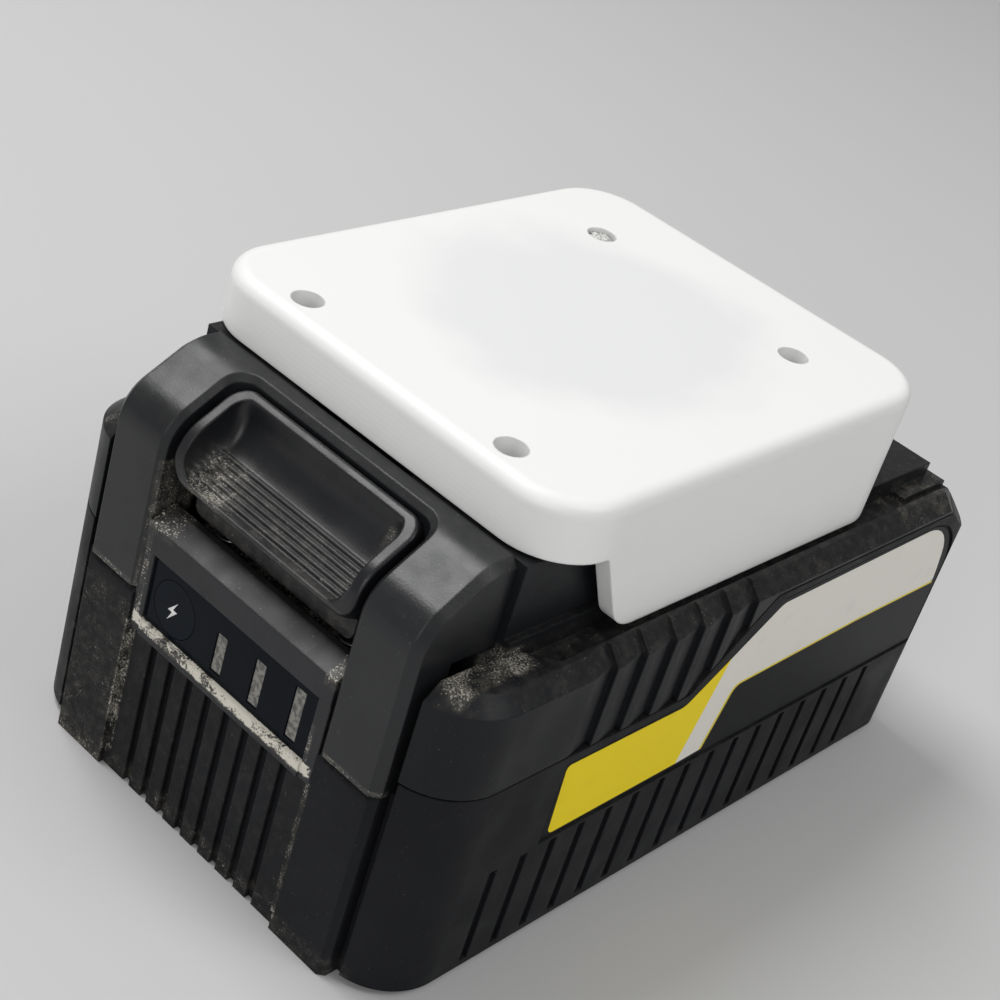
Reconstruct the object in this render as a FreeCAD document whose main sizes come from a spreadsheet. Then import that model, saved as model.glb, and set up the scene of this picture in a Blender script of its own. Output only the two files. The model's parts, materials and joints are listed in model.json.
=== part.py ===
import FreeCAD, Part
import math
import os
import re

import Sketcher
from FreeCAD import Placement, Rotation, Vector

# A holder for a slide-on tool battery, with the battery locked in it. The holder is a plate with
# four screw holes, which is screwed under a shelf or to a wall, and two lips that reach under the
# battery's rail. Everything is in millimetres. X is the width, Y the length with the battery's
# button at -Y, and Z is up. The origin is the middle of the battery's footprint, on its underside.

SIZES = {
    # The battery's rail, and the holder round it
    "rail_width": (61.0, "over both flanges of the rail"),
    "neck_width": (51.0, "the rail below its flanges"),
    "rail_length": (78.6, "from the holder's front to the end of the rail"),
    "flange_thick": (5.3, "the rail's flange"),
    "neck_rise": (5.5, "from the shelf to the flange"),
    "block_width": (59.0, "the solid block at the front of the rail"),
    "slide_gap": (0.5, "the holder's running gap on the rail"),
    "lip_gap": (0.4, "between the holder's lips and the flange above them"),
    "lip_side_gap": (1.0, "between the holder's lips and the neck"),
    "stop_gap": (0.5, "between a piece and the stop that it slides up to"),
    "plate_gap": (0.5, "between the rail and the holder's plate"),
    "plate_thick": (8.2, "the holder's plate"),
    "holder_wall": (2.5, "the holder's skirt and rear wall"),
    "holder_corner": (9.6, "the holder's corners in plan"),
    "holder_edge": (2.0, "the rounding round the holder's top"),
    "rail_corner": (4.0, "the chamfer at the rail's rear corners, and in the holder round them"),
    "notch_length": (9.9, "how far the skirt stands back from the holder's front, at the plate"),
    "notch_slope": (7.0, "how much further back the skirt's foot is"),
    "notch_round": (1.0, "the rounding in the notch"),
    "skirt_corner": (6.0, "the rounding at the skirt's front foot"),
    "skirt_gap": (1.5, "under the skirt, above the channel's floor"),
    "lip_setback": (5.4, "how far the lips stand back from the skirt's foot"),
    "screw_spacing_x": (37.0, "the holder's screws, across"),
    "screw_spacing_y": (60.0, "the holder's screws, along"),
    "screw_inset": (5.0, "from the holder's front to its first screws"),
    "screw_hole": (4.5, "bore for the holder's screws"),
    "head_bore": (8.4, "counterbore for the screws' heads, under the plate"),
    "head_depth": (3.6, "depth of that counterbore"),
    "pocket_depth": (3.4, "the pocket for the latch tooth, in the plate"),
    # The battery's case
    "pack_length": (122.0, "the battery, over all"),
    "frame_depth": (14.5, "the front frame, from its face to its back"),
    "holder_gap": (0.4, "between the front frame and the holder"),
    "case_wall": (2.5, "the case's walls"),
    "groove_gap": (0.8, "between the skirt and the outer side of its channel"),
    "shoulder_lip": (1.0, "the flat lip outside the channel"),
    "bevel_size": (2.2, "the bevel round the shoulder"),
    "shoulder_top": (48.5, "the shoulder's height"),
    "channel_depth": (1.3, "the channel under the skirt"),
    "shelf_rise": (2.0, "the shelf above the shoulder"),
    "shelf_back": (9.0, "from the shelf's end to the battery's rear"),
    "roof_thick": (2.0, "the case's roof under the channel"),
    "front_step": (1.5, "how far the front block stands before the side blocks"),
    "front_corner": (9.5, "the case's front corners in plan"),
    "rear_corner": (5.0, "the case's rear corners in plan"),
    "rear_round": (12.0, "the rounding over the case's rear edge"),
    "rear_bevel": (10.0, "what the shoulder's bevel grows to, along that rounding"),
    "rear_wedge": (2.0, "how far the case's room reaches in under that rounding"),
    "deck_start": (42.0, "the front of the deck on the channel's floor, behind the holder's way"),
    "deck_back": (7.0, "from the deck to the battery's rear"),
    "deck_inset": (1.3, "from the deck to the outer side of the channel"),
    "channel_start": (2.5, "from the front frame to the channel, at its inner side"),
    "foot_edge": (1.0, "the chamfer round the case's foot"),
    "block_edge": (0.9, "the chamfer round the front block, below the frame"),
    "seam_low": (33.5, "the seam between the cases, at the front"),
    "seam_drop": (0.8, "from the shoulder's bevel down to the seam, at the rear"),
    "seam_turn": (-10.5, "where the seam starts to rise"),
    "seam_run": (14.5, "how far along it rises"),
    "seam_gap": (0.3, "the open line between the cases"),
    "crease_width": (1.4, "the upright groove beside the front frame"),
    "crease_depth": (1.5, "its depth in the side blocks"),
    # Grooves and ribs on the case
    "rib_pitch": (3.75, "the upright ribs below the gauge"),
    "rib_groove": (1.3, "the groove between two of those ribs"),
    "rib_depth": (0.8, "the depth of that groove"),
    "rib_sink": (0.8, "the ribs behind the front face"),
    "side_pitch": (5.9, "the upright grooves on the lower side"),
    "side_groove": (1.5, "their width"),
    "side_depth": (0.6, "their depth"),
    "ridge_pitch": (6.1, "the ridges along the shoulder"),
    "ridge_run": (4.6, "how much of each ridge falls away"),
    "ridge_depth": (0.8, "how deep it falls, where the next one starts"),
    "ridge_start": (-31.8, "the step of the first ridge"),
    "label_foot": (18.4, "the lower edge of the label's panel"),
    "label_start": (-35.7, "the front edge of the label's panel"),
    "label_drop": (1.4, "from the seam down to the panel's low part"),
    "label_top_gap": (1.1, "from the seam down to the panel's top, at the rear"),
    "label_inset": (3.4, "from the panel to the rear of the case"),
    "label_round": (11.0, "the panel's rounded corner"),
    "label_lead": (2.3, "from the end of the seam's rise to the end of the panel's"),
    "label_lean": (0.33, "how far its slope moves for each millimetre that it shrinks"),
    "label_sink": (0.5, "the panel below the case's side"),
    "label_thick": (0.25, "the label"),
    "label_edge": (0.5, "from the label to the edge of its panel"),
    # The front frame, and the button in its bend
    "frame_foot": (30.3, "the foot of the frame's legs"),
    "leg_foot_width": (57.2, "over both legs at their foot"),
    "leg_top_width": (56.6, "over both legs at the top"),
    "opening_width": (36.6, "between the legs"),
    "opening_corner": (3.0, "the rounded corners of that opening, beside the bridge"),
    "opening_bevel": (0.8, "the bevel round that opening"),
    "slant_drop": (6.3, "from the frame's top to where its slanted face would meet its front"),
    "slant_run": (10.3, "from the frame's front to where its slanted face would meet its top"),
    "frame_bend": (7.0, "the bend between the frame's front and its slanted face"),
    "frame_crown": (8.0, "the bend between the slanted face and the top"),
    "frame_top_gap": (0.3, "from the frame's top to the level of the plate's underside"),
    "frame_bevel": (1.2, "the bevel along the frame's outer edges"),
    "leg_depth": (7.0, "the legs, from face to back"),
    "bridge_thick": (3.3, "the wall behind the button"),
    "bay_gap": (1.2, "between the legs and the side blocks"),
    "bay_wall": (1.8, "the case's wall behind the front frame"),
    "button_side_gap": (1.2, "beside the button"),
    "button_back_gap": (0.4, "behind the button"),
    "button_sink": (0.8, "the button's rim below the frame's bend"),
    "button_low": (48.3, "the button's lower edge"),
    "button_corner": (3.0, "the button's rounded corners"),
    "button_rim": (2.2, "the rim at the scoop's ends"),
    "button_travel": (3.6, "how far the button is pressed down"),
    "scoop_round": (4.0, "the bend in the scoop"),
    "scoop_lip": (1.3, "the scoop's front edge above the button's lower edge"),
    "scoop_front": (1.6, "the scoop's floor, from the button's face"),
    "scoop_back": (4.2, "the rear of the scoop's floor, from the button's back"),
    "scoop_rise": (4.6, "the rear of the scoop's floor above the button's lower edge"),
    "scoop_rim": (1.6, "the rim behind the scoop"),
    "scoop_wall": (7.6, "where the scoop's rear wall turns upright"),
    "grip_height": (0.35, "the ribs in the scoop"),
    "hook_width": (17.0, "the latch hook"),
    "hook_gap": (0.7, "beside the hook"),
    "hook_low": (53.0, "the underside of the hook's arm"),
    "hook_thick": (3.5, "the hook's arm"),
    "tooth_gap": (0.3, "from the tooth's top to the plate above it"),
    "tooth_front": (3.9, "from the holder's front to the tooth's locking face"),
    "tooth_length": (5.0, "the tooth, along"),
    "spring_spread": (24.0, "between the two latch springs"),
    "spring_outer": (4.6, "their outer diameter"),
    "spring_wire": (0.6, "their wire"),
    "spring_seat": (38.0, "the height of their seat"),
    "seat_thick": (2.0, "the ledge under the springs"),
    # The gauge
    "gauge_foot": (24.5, "the gauge's lower edge"),
    "gauge_top": (42.9, "the top of the bar over the gauge"),
    "gauge_bar": (5.7, "the height of that bar"),
    "bar_slope_run": (3.0, "the slope on its top, from front to back"),
    "bar_slope_rise": (1.8, "the height of that slope"),
    "gauge_sink": (0.3, "the gauge's frame behind the front face"),
    "bar_sink": (0.15, "the bar behind the front face"),
    "gauge_thick": (3.9, "the gauge's frame"),
    "gauge_side_gap": (0.1, "beside the gauge"),
    "window_side": (2.2, "the gauge's frame beside the window"),
    "window_foot": (2.3, "the gauge's frame below the window"),
    "window_sink": (0.4, "the window behind its frame"),
    "window_thick": (1.5, "the window"),
    "window_seat": (1.0, "the ledge that the window rests on"),
    "window_gap": (0.1, "round the window, the key and the light bars"),
    "key_inset": (5.0, "the key's centre, from the window's left edge"),
    "key_height": (31.5, "the key's centre"),
    "key_round": (8.0, "the key's diameter"),
    "key_travel": (0.5, "how far the key is pressed in"),
    "switch_rise": (0.3, "the key's switch on its board"),
    "light_pitch": (7.3, "between two light bars"),
    "light_inset": (3.2, "the last light bar, from the window's right edge"),
    "light_width": (1.8, "a light bar"),
    "light_height": (7.8, "the tallest light bar, which is the last"),
    "light_step": (1.0, "how much shorter each light bar before it is"),
    "light_foot": (27.9, "the light bars' lower ends"),
    "light_sink": (0.2, "the light bars behind the window's face"),
    "board_thick": (1.6, "the circuit boards"),
    # The cells and what carries them
    "cell_round": (18.3, "a cell's diameter"),
    "cell_long": (65.2, "a cell's length"),
    "cell_slack": (0.15, "round a cell in its holder"),
    "holder_web": (0.6, "the cells' holders between two cells"),
    "holder_rim": (0.8, "the rim of the cells' holders"),
    "tray_gap": (0.5, "between the cells' holders and the case, along"),
    "holder_grip": (8.0, "how much of a cell its holder grips"),
    "side_slack": (0.3, "between the cells' holders and the case"),
    "pad_thick": (1.0, "the foam pad under the cells"),
    "tab_thick": (0.2, "the nickel tabs"),
    "tab_width": (8.0, "a nickel tab"),
    "paper_thick": (0.3, "the insulating sheets"),
    "board_width": (60.0, "the control board"),
    "board_inset": (3.5, "the control board, from the ends of the cells' holders"),
    "chip_size": (9.0, "the larger components"),
    "chip_spread": (12.0, "the larger components, from the middle"),
    "chip_inset": (16.0, "the larger components, from the board's front edge"),
    "chip_thick": (2.0, "the larger components"),
    "carrier_width": (40.0, "the contacts' carrier"),
    "carrier_length": (21.5, "the contacts' carrier"),
    "carrier_wall": (2.0, "the carrier in front of and below its slots"),
    "contact_inset": (1.5, "from the contacts to the carrier's back"),
    "contact_sink": (1.0, "the contacts below the carrier's top"),
    "slot_width": (2.2, "a contact slot in the rail"),
    "slot_length": (20.0, "a contact slot, from the end of the rail"),
    "slot_depth": (6.8, "a contact slot, from the top of the rail"),
    "slot_pitch": (8.0, "from slot to slot"),
    "contact_thick": (0.5, "a contact's leaf"),
    # The case's screws
    "boss_across": (30.8, "a case screw, from the middle"),
    "boss_round": (5.8, "the bosses round the case screws"),
    "boss_slack": (0.3, "round the lid's bosses, in the tub's rear wall"),
    "boss_front": (10.0, "from the front face to the front screws"),
    "boss_rear": (7.4, "from the rear to the rear screws"),
    "recess_round": (4.6, "the recess up to a case screw's head"),
    "recess_depth": (16.0, "the depth of that recess"),
    "case_head": (4.2, "a case screw's head"),
    "case_head_thick": (2.2, "a case screw's head"),
    "case_shank": (2.5, "a case screw's shank"),
    "shank_gap": (0.1, "round that shank"),
    "shank_end": (42.0, "the height that the case screws reach"),
}

PLACES = {
    "rail_half": "rail_width / 2",
    "skirt_in": "rail_half + slide_gap",
    "holder_half": "skirt_in + holder_wall",
    "channel_out": "holder_half + groove_gap",
    "case_half": "channel_out + shoulder_lip + bevel_size",
    "lip_in": "neck_width / 2 + lip_side_gap",
    "front": "-pack_length / 2",
    "rear": "pack_length / 2",
    "side_front": "front + front_step",
    "frame_back": "front + frame_depth",
    "holder_front": "frame_back + holder_gap",
    "rail_end": "holder_front + rail_length",
    "rear_wall": "rail_end + stop_gap",
    "holder_rear": "rear_wall + holder_wall",
    "skirt_front": "holder_front + notch_length",
    "skirt_foot": "skirt_front + notch_slope",
    "lip_front": "skirt_foot + lip_setback",
    "block_back": "lip_front - stop_gap",
    "screw_front": "holder_front + screw_inset",
    "channel_floor": "shoulder_top - channel_depth",
    "shelf_top": "shoulder_top + shelf_rise",
    "neck_top": "shelf_top + neck_rise",
    "flange_top": "neck_top + flange_thick",
    "plate_low": "flange_top + plate_gap",
    "holder_top": "plate_low + plate_thick",
    "skirt_low": "channel_floor + skirt_gap",
    "lip_low": "shelf_top + slide_gap",
    "lip_high": "neck_top - lip_gap",
    "seam_high": "shoulder_top - bevel_size - seam_drop",
    "roof_low": "channel_floor - roof_thick",
    "inner_half": "case_half - case_wall",
    "inner_rear": "rear - case_wall",
    "inner_front": "side_front + case_wall",
    "frame_top": "plate_low - frame_top_gap",
    "bridge_front": "frame_back - bridge_thick",
    "leg_back": "front + leg_depth",
    "bay_half": "leg_foot_width / 2 + bay_gap",
    "bay_back": "bridge_front + stop_gap",
    "inner_wall": "bay_back + bay_wall",
    "opening_half": "opening_width / 2",
    "button_half": "opening_half - button_side_gap",
    "button_back": "bridge_front - button_back_gap",
    "slant": "slant_drop / slant_run",
    "slant_sink": "button_sink * sqrt(1 + slant^2)",
    "slant_foot": "frame_top - slant_drop",
    "button_face": "front + button_sink",
    "button_shoulder": "slant_foot + slant * button_sink - slant_sink",
    "button_top": "slant_foot + slant * (button_back - front) - slant_sink",
    "spring_middle": "(bay_back + leg_back) / 2",
    "hook_half": "hook_width / 2",
    "hook_top": "hook_low + hook_thick",
    "window_half": "hook_half + hook_gap",
    "tooth_face": "holder_front + tooth_front",
    "tooth_back": "tooth_face + tooth_length",
    "tooth_top": "plate_low - tooth_gap",
    "gauge_half": "opening_half - gauge_side_gap",
    "gauge_face": "front + gauge_sink",
    "bar_face": "front + bar_sink",
    "gauge_back": "gauge_face + gauge_thick",
    "glass_half": "gauge_half - window_side",
    "glass_low": "gauge_foot + window_foot",
    "glass_high": "gauge_top - gauge_bar - window_gap",
    "glass_face": "gauge_face + window_sink",
    "glass_back": "glass_face + window_thick",
    "key_across": "key_inset - glass_half",
    "key_back": "glass_back - key_travel - window_gap",
    "last_light": "glass_half - light_inset",
    "rib_face": "front + rib_sink",
    "tray_foot": "case_wall + pad_thick",
    "cell_pitch": "cell_round + 2 * cell_slack + holder_web",
    "cell_room": "boss_rear_y - boss_round / 2 - inner_wall - 2 * tray_gap",
    "cell_low": "tray_foot + holder_rim + cell_slack + cell_round / 2",
    "cell_high": "cell_low + cell_pitch",
    "cell_middle": "inner_wall + tray_gap + tray_half",
    "tray_top": "cell_high + cell_round / 2 + cell_slack + holder_rim",
    "cell_end": "cell_long / 2",
    "tray_out": "inner_half - side_slack",
    "carrier_top": "flange_top - case_wall - side_slack",
    "board_top": "tray_top + board_thick",
    "carrier_back": "rail_end - case_wall - stop_gap",
    "boss_front_y": "front + boss_front",
    "boss_rear_y": "rear - boss_rear",
    "boss_top": "seam_low - seam_gap",
    "bend_start": "shoulder_top - rear_round - rear_wedge",
    "bend_back": "rear - rear_round",
    "channel_front": "frame_back + channel_start",
    "deck_top": "skirt_low - stop_gap",
    "tab_room": "tray_half - 2 * holder_rim",
    "slot_half": "slot_width / 2 + contact_thick",
    "carrier_front": "carrier_back - carrier_length",
}

document = FreeCAD.newDocument("battery_holder")
sheet = document.addObject("Spreadsheet::Sheet", "Sizes")
for row, (alias, (size, note)) in enumerate(SIZES.items(), start=1):
    sheet.set(f"A{row}", note)
    sheet.set(f"B{row}", str(size))
    sheet.setAlias(f"B{row}", alias)
document.recompute()


def bound(text):
    """The expression for a place or a size, in terms of the sheet's cells alone."""
    def word(match):
        name = match.group(0)
        if name in SIZES:
            return f"Sizes.{name}"
        if name in PLACES:
            return f"({bound(PLACES[name])})"
        return name
    return re.sub(r"[a-z_]+", word, text)


def number(text):
    """What an expression comes to, in millimetres."""
    return float(sheet.evalExpression(bound(text)))


def origin_feature(body, role):
    """One of a body's own planes or axes."""
    return next(item for item in body.Origin.OriginFeatures if item.Role == role)


def box_outline(left, right, low, high):
    """A rectangle's corners, counter-clockwise."""
    return [(left, low), (right, low), (right, high), (left, high)]


def both_sides(inner, outer, low, high):
    """Two rectangles, one each side of the middle."""
    return [box_outline(inner, outer, low, high), box_outline(f"-({outer})", f"-({inner})", low, high)]


def mirrored(points):
    """An outline and its mirror image across the middle."""
    other = []
    for across, up in reversed(points):
        other.append((f"-({across})", up))
    return [points, other]


def case_plan(half, low, high, front_radius, rear_radius):
    """The case's rounded outline in plan."""
    front_half, rear_half = f"{half} - ({front_radius})", f"{half} - ({rear_radius})"
    front_start, rear_start = f"{low} + {front_radius}", f"{high} - ({rear_radius})"
    return [
        (f"-({front_half})", low),
        (front_half, low, front_radius),
        (half, front_start),
        (half, rear_start, rear_radius),
        (rear_half, high),
        (f"-({rear_half})", high, rear_radius),
        (f"-({half})", rear_start),
        (f"-({half})", front_start, front_radius),
    ]


def hold(sketch, kind, element, spot, text):
    """A dimension from the sketch's origin, or a radius, bound to the sheet."""
    if kind == "Radius":
        constraint = Sketcher.Constraint(kind, element, number(text))
    else:
        constraint = Sketcher.Constraint(kind, -1, 1, element, spot, number(text))
    index = sketch.addConstraint(constraint)
    sketch.setExpression(f"Constraints[{index}]", bound(text))


def draw_circle(sketch, across, up, radius):
    """A circle in a sketch, with its centre and radius bound to the sheet."""
    centre = Vector(number(across), number(up), 0)
    circle = sketch.addGeometry(Part.Circle(centre, Vector(0, 0, 1), number(radius)), False)
    hold(sketch, "DistanceX", circle, 3, across)
    hold(sketch, "DistanceY", circle, 3, up)
    hold(sketch, "Radius", circle, 3, radius)


def draw_outline(sketch, points):
    """A closed outline in a sketch. A point with a third value starts an arc of that radius,
    whose centre is on the left of its way, so that a counter-clockwise outline bulges there."""
    corners = [Vector(number(point[0]), number(point[1]), 0) for point in points]
    sides = []
    for index, point in enumerate(points):
        start, end = corners[index], corners[(index + 1) % len(points)]
        if len(point) == 2:
            curve = Part.LineSegment(start, end)
        else:
            radius = number(point[2])
            chord = end - start
            left = Vector(-chord.y, chord.x, 0).normalize()
            rise = math.sqrt(radius ** 2 - (chord.Length / 2) ** 2)
            middle = (start + end) / 2
            curve = Part.Arc(start, middle + left * rise - left * radius, end)
        sides.append(sketch.addGeometry(curve, False))
    for index, point in enumerate(points):
        following = sides[(index + 1) % len(points)]
        sketch.addConstraint(Sketcher.Constraint("Coincident", sides[index], 2, following, 1))
        hold(sketch, "DistanceX", sides[index], 1, point[0])
        hold(sketch, "DistanceY", sides[index], 1, point[1])
        if len(point) == 3:
            hold(sketch, "Radius", sides[index], 1, point[2])


def new_sketch(body, name, plane, level):
    """A sketch on one of the body's planes, moved out to a level along that plane's normal."""
    sketch = body.newObject("Sketcher::SketchObject", f"{name}_outline")
    sketch.AttachmentSupport = [(origin_feature(body, f"{plane}_Plane"), "")]
    sketch.MapMode = "FlatFace"
    sketch.setExpression("AttachmentOffset.Base.z", bound(level))
    return sketch


def prism(body, name, plane, low, high, outlines, cut=False):
    """Outlines carried straight from low to high: added to the body, or cut out of it.
    On the XZ plane a sketch looks along -Y, so it starts at high and runs back to low."""
    level = f"-({high})" if plane == "XZ" else low
    sketch = new_sketch(body, name, plane, level)
    for outline in outlines:
        if isinstance(outline, list):
            draw_outline(sketch, outline)
        else:
            draw_circle(sketch, *outline)
    before = body.Shape.Volume if cut else 0.0
    feature = body.newObject("PartDesign::Pocket" if cut else "PartDesign::Pad", name)
    feature.Profile = sketch
    feature.setExpression("Length", bound(f"{high} - ({low})"))
    feature.Reversed = cut
    document.recompute()
    if cut and feature.Shape.Volume > before - 1e-3:
        raise RuntimeError(f"{name} cuts nothing")
    return feature


def edge_names(shape, wanted):
    """The names of the edges that a test picks."""
    return [f"Edge{index}" for index, edge in enumerate(shape.Edges, start=1) if wanted(edge)]


def dress(body, name, kind, size, wanted):
    """A fillet or a chamfer on the edges that a test picks."""
    base = body.Tip
    names = edge_names(base.Shape, wanted)
    if not names:
        raise RuntimeError(f"{name} finds no edge")
    feature = body.newObject(f"PartDesign::{kind}", name)
    feature.Base = (base, names)
    feature.setExpression("Radius" if kind == "Fillet" else "Size", bound(size))
    document.recompute()
    return feature


def repeat(body, name, feature, axis, pitch, count):
    """Copies of a feature at an even pitch along one of the body's axes."""
    pattern = body.newObject("PartDesign::LinearPattern", name)
    pattern.Originals = [feature]
    pattern.Direction = (origin_feature(body, f"{axis}_Axis"), [""])
    pattern.Occurrences = count
    pattern.setExpression("Length", bound(f"({pitch}) * {count - 1}"))
    body.Tip = pattern
    document.recompute()
    return pattern


def new_body(label):
    """An empty body, named for its sub-part."""
    body = document.addObject("PartDesign::Body", label)
    body.Label = label
    body.AllowCompound = True
    body.Placement = Placement(Vector(0, 0, 0), Rotation())
    return body


def near(value, text, slack=0.01):
    """Whether a coordinate lies at a place."""
    return abs(value - number(text)) < slack


def runs_along(edge, axis):
    """Whether an edge is straight and lies along X, Y or Z."""
    if edge.Curve.TypeId != "Part::GeomLine":
        return False
    way = edge.Curve.Direction
    return abs(getattr(way, axis)) > 0.999


def make_holder_shell():
    """The printed holder: a thick plate, a skirt on both sides and at the rear, and two lips."""
    body = new_body("holder_shell")
    plan = box_outline("-(holder_half)", "holder_half", "holder_front", "holder_rear")
    prism(body, "holder_blank", "XY", "skirt_low", "holder_top", [plan])
    dress(body, "holder_corners", "Fillet", "holder_corner", lambda edge: runs_along(edge, "z"))
    dress(body, "holder_top_edge", "Fillet", "holder_edge",
          lambda edge: near(edge.BoundBox.ZMin, "holder_top"))
    inside = [
        ("-(skirt_in)", "holder_front - 1"),
        ("skirt_in", "holder_front - 1"),
        ("skirt_in", "rear_wall - rail_corner"),
        ("skirt_in - rail_corner", "rear_wall"),
        ("-(skirt_in) + rail_corner", "rear_wall"),
        ("-(skirt_in)", "rear_wall - rail_corner"),
    ]
    prism(body, "rail_room", "XY", "skirt_low - 1", "plate_low", [inside], cut=True)
    over_shelf = box_outline("-(skirt_in)", "skirt_in", "skirt_low - 1", "lip_low")
    prism(body, "shelf_room", "XZ", "rear_wall - rail_corner - 1", "holder_rear + 1", [over_shelf], cut=True)
    notch = [
        ("holder_front - 1", "skirt_low - 1"),
        ("skirt_foot", "skirt_low - 1"),
        ("skirt_foot", "skirt_low"),
        ("skirt_front", "plate_low"),
        ("holder_front - 1", "plate_low"),
    ]
    prism(body, "front_notch", "YZ", "-(holder_half) - 1", "holder_half + 1", [notch], cut=True)
    dress(body, "skirt_foot_round", "Fillet", "skirt_corner",
          lambda edge: runs_along(edge, "x") and near(edge.CenterOfMass.y, "skirt_foot")
          and near(edge.CenterOfMass.z, "skirt_low"))
    dress(body, "notch_corner", "Fillet", "notch_round",
          lambda edge: runs_along(edge, "x") and near(edge.CenterOfMass.y, "skirt_front")
          and near(edge.CenterOfMass.z, "plate_low") and edge.Length < number("2 * holder_wall"))
    lips = both_sides("lip_in", "skirt_in + holder_wall / 2", "lip_low", "lip_high")
    prism(body, "lips", "XZ", "lip_front", "rear_wall - rail_corner", lips)
    pocket = box_outline("-(window_half)", "window_half", "tooth_face - stop_gap", "tooth_back + stop_gap")
    prism(body, "tooth_pocket", "XY", "plate_low - 1", "plate_low + pocket_depth", [pocket], cut=True)
    holes = []
    heads = []
    for side in ("-(screw_spacing_x) / 2", "screw_spacing_x / 2"):
        for along in ("screw_front", "screw_front + screw_spacing_y"):
            holes.append((side, along, "screw_hole / 2"))
            heads.append((side, along, "head_bore / 2"))
    prism(body, "screw_holes", "XY", "plate_low - 1", "holder_top + 1", holes, cut=True)
    prism(body, "head_bores", "XY", "plate_low - 1", "plate_low + head_depth", heads, cut=True)
    return body


def rear_top(body, name):
    """Rounds off a case over its rear edge, with a bevel that grows along both sides of it."""
    outside = [
        ("rear", "shoulder_top - rear_round", "rear_round"),
        ("bend_back", "shoulder_top"),
        ("bend_back", "shoulder_top + 2"),
        ("rear + 2", "shoulder_top + 2"),
        ("rear + 2", "shoulder_top - rear_round"),
    ]
    prism(body, name, "YZ", "-(case_half) - 1", "case_half + 1", [outside], cut=True)
    for index, side in enumerate(("left", "right")):
        near_outline = mirrored(bevel_outline("bevel_size / 2"))[1 - index]
        far_outline = mirrored(bevel_outline("rear_bevel"))[1 - index]
        taper(body, f"{name}_{side}", "bend_back", near_outline, "rear", far_outline)


def bevel_outline(size):
    """What is cut off outside the bevel along the shoulder, where the bevel has a size."""
    return [
        ("case_half", f"shoulder_top - {size}"),
        ("case_half + 1", f"shoulder_top - {size}"),
        ("case_half + 1", "shoulder_top + 1"),
        (f"case_half - {size}", "shoulder_top + 1"),
        (f"case_half - {size}", "shoulder_top"),
    ]


def boss_places():
    """The four case screws, as places across and along."""
    return [(side, along) for side in ("-(boss_across)", "boss_across")
            for along in ("boss_front_y", "boss_rear_y")]


def pattern_count(length, pitch):
    """How many copies at a pitch fit in a length."""
    return int(number(length) / number(pitch)) + 1


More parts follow.
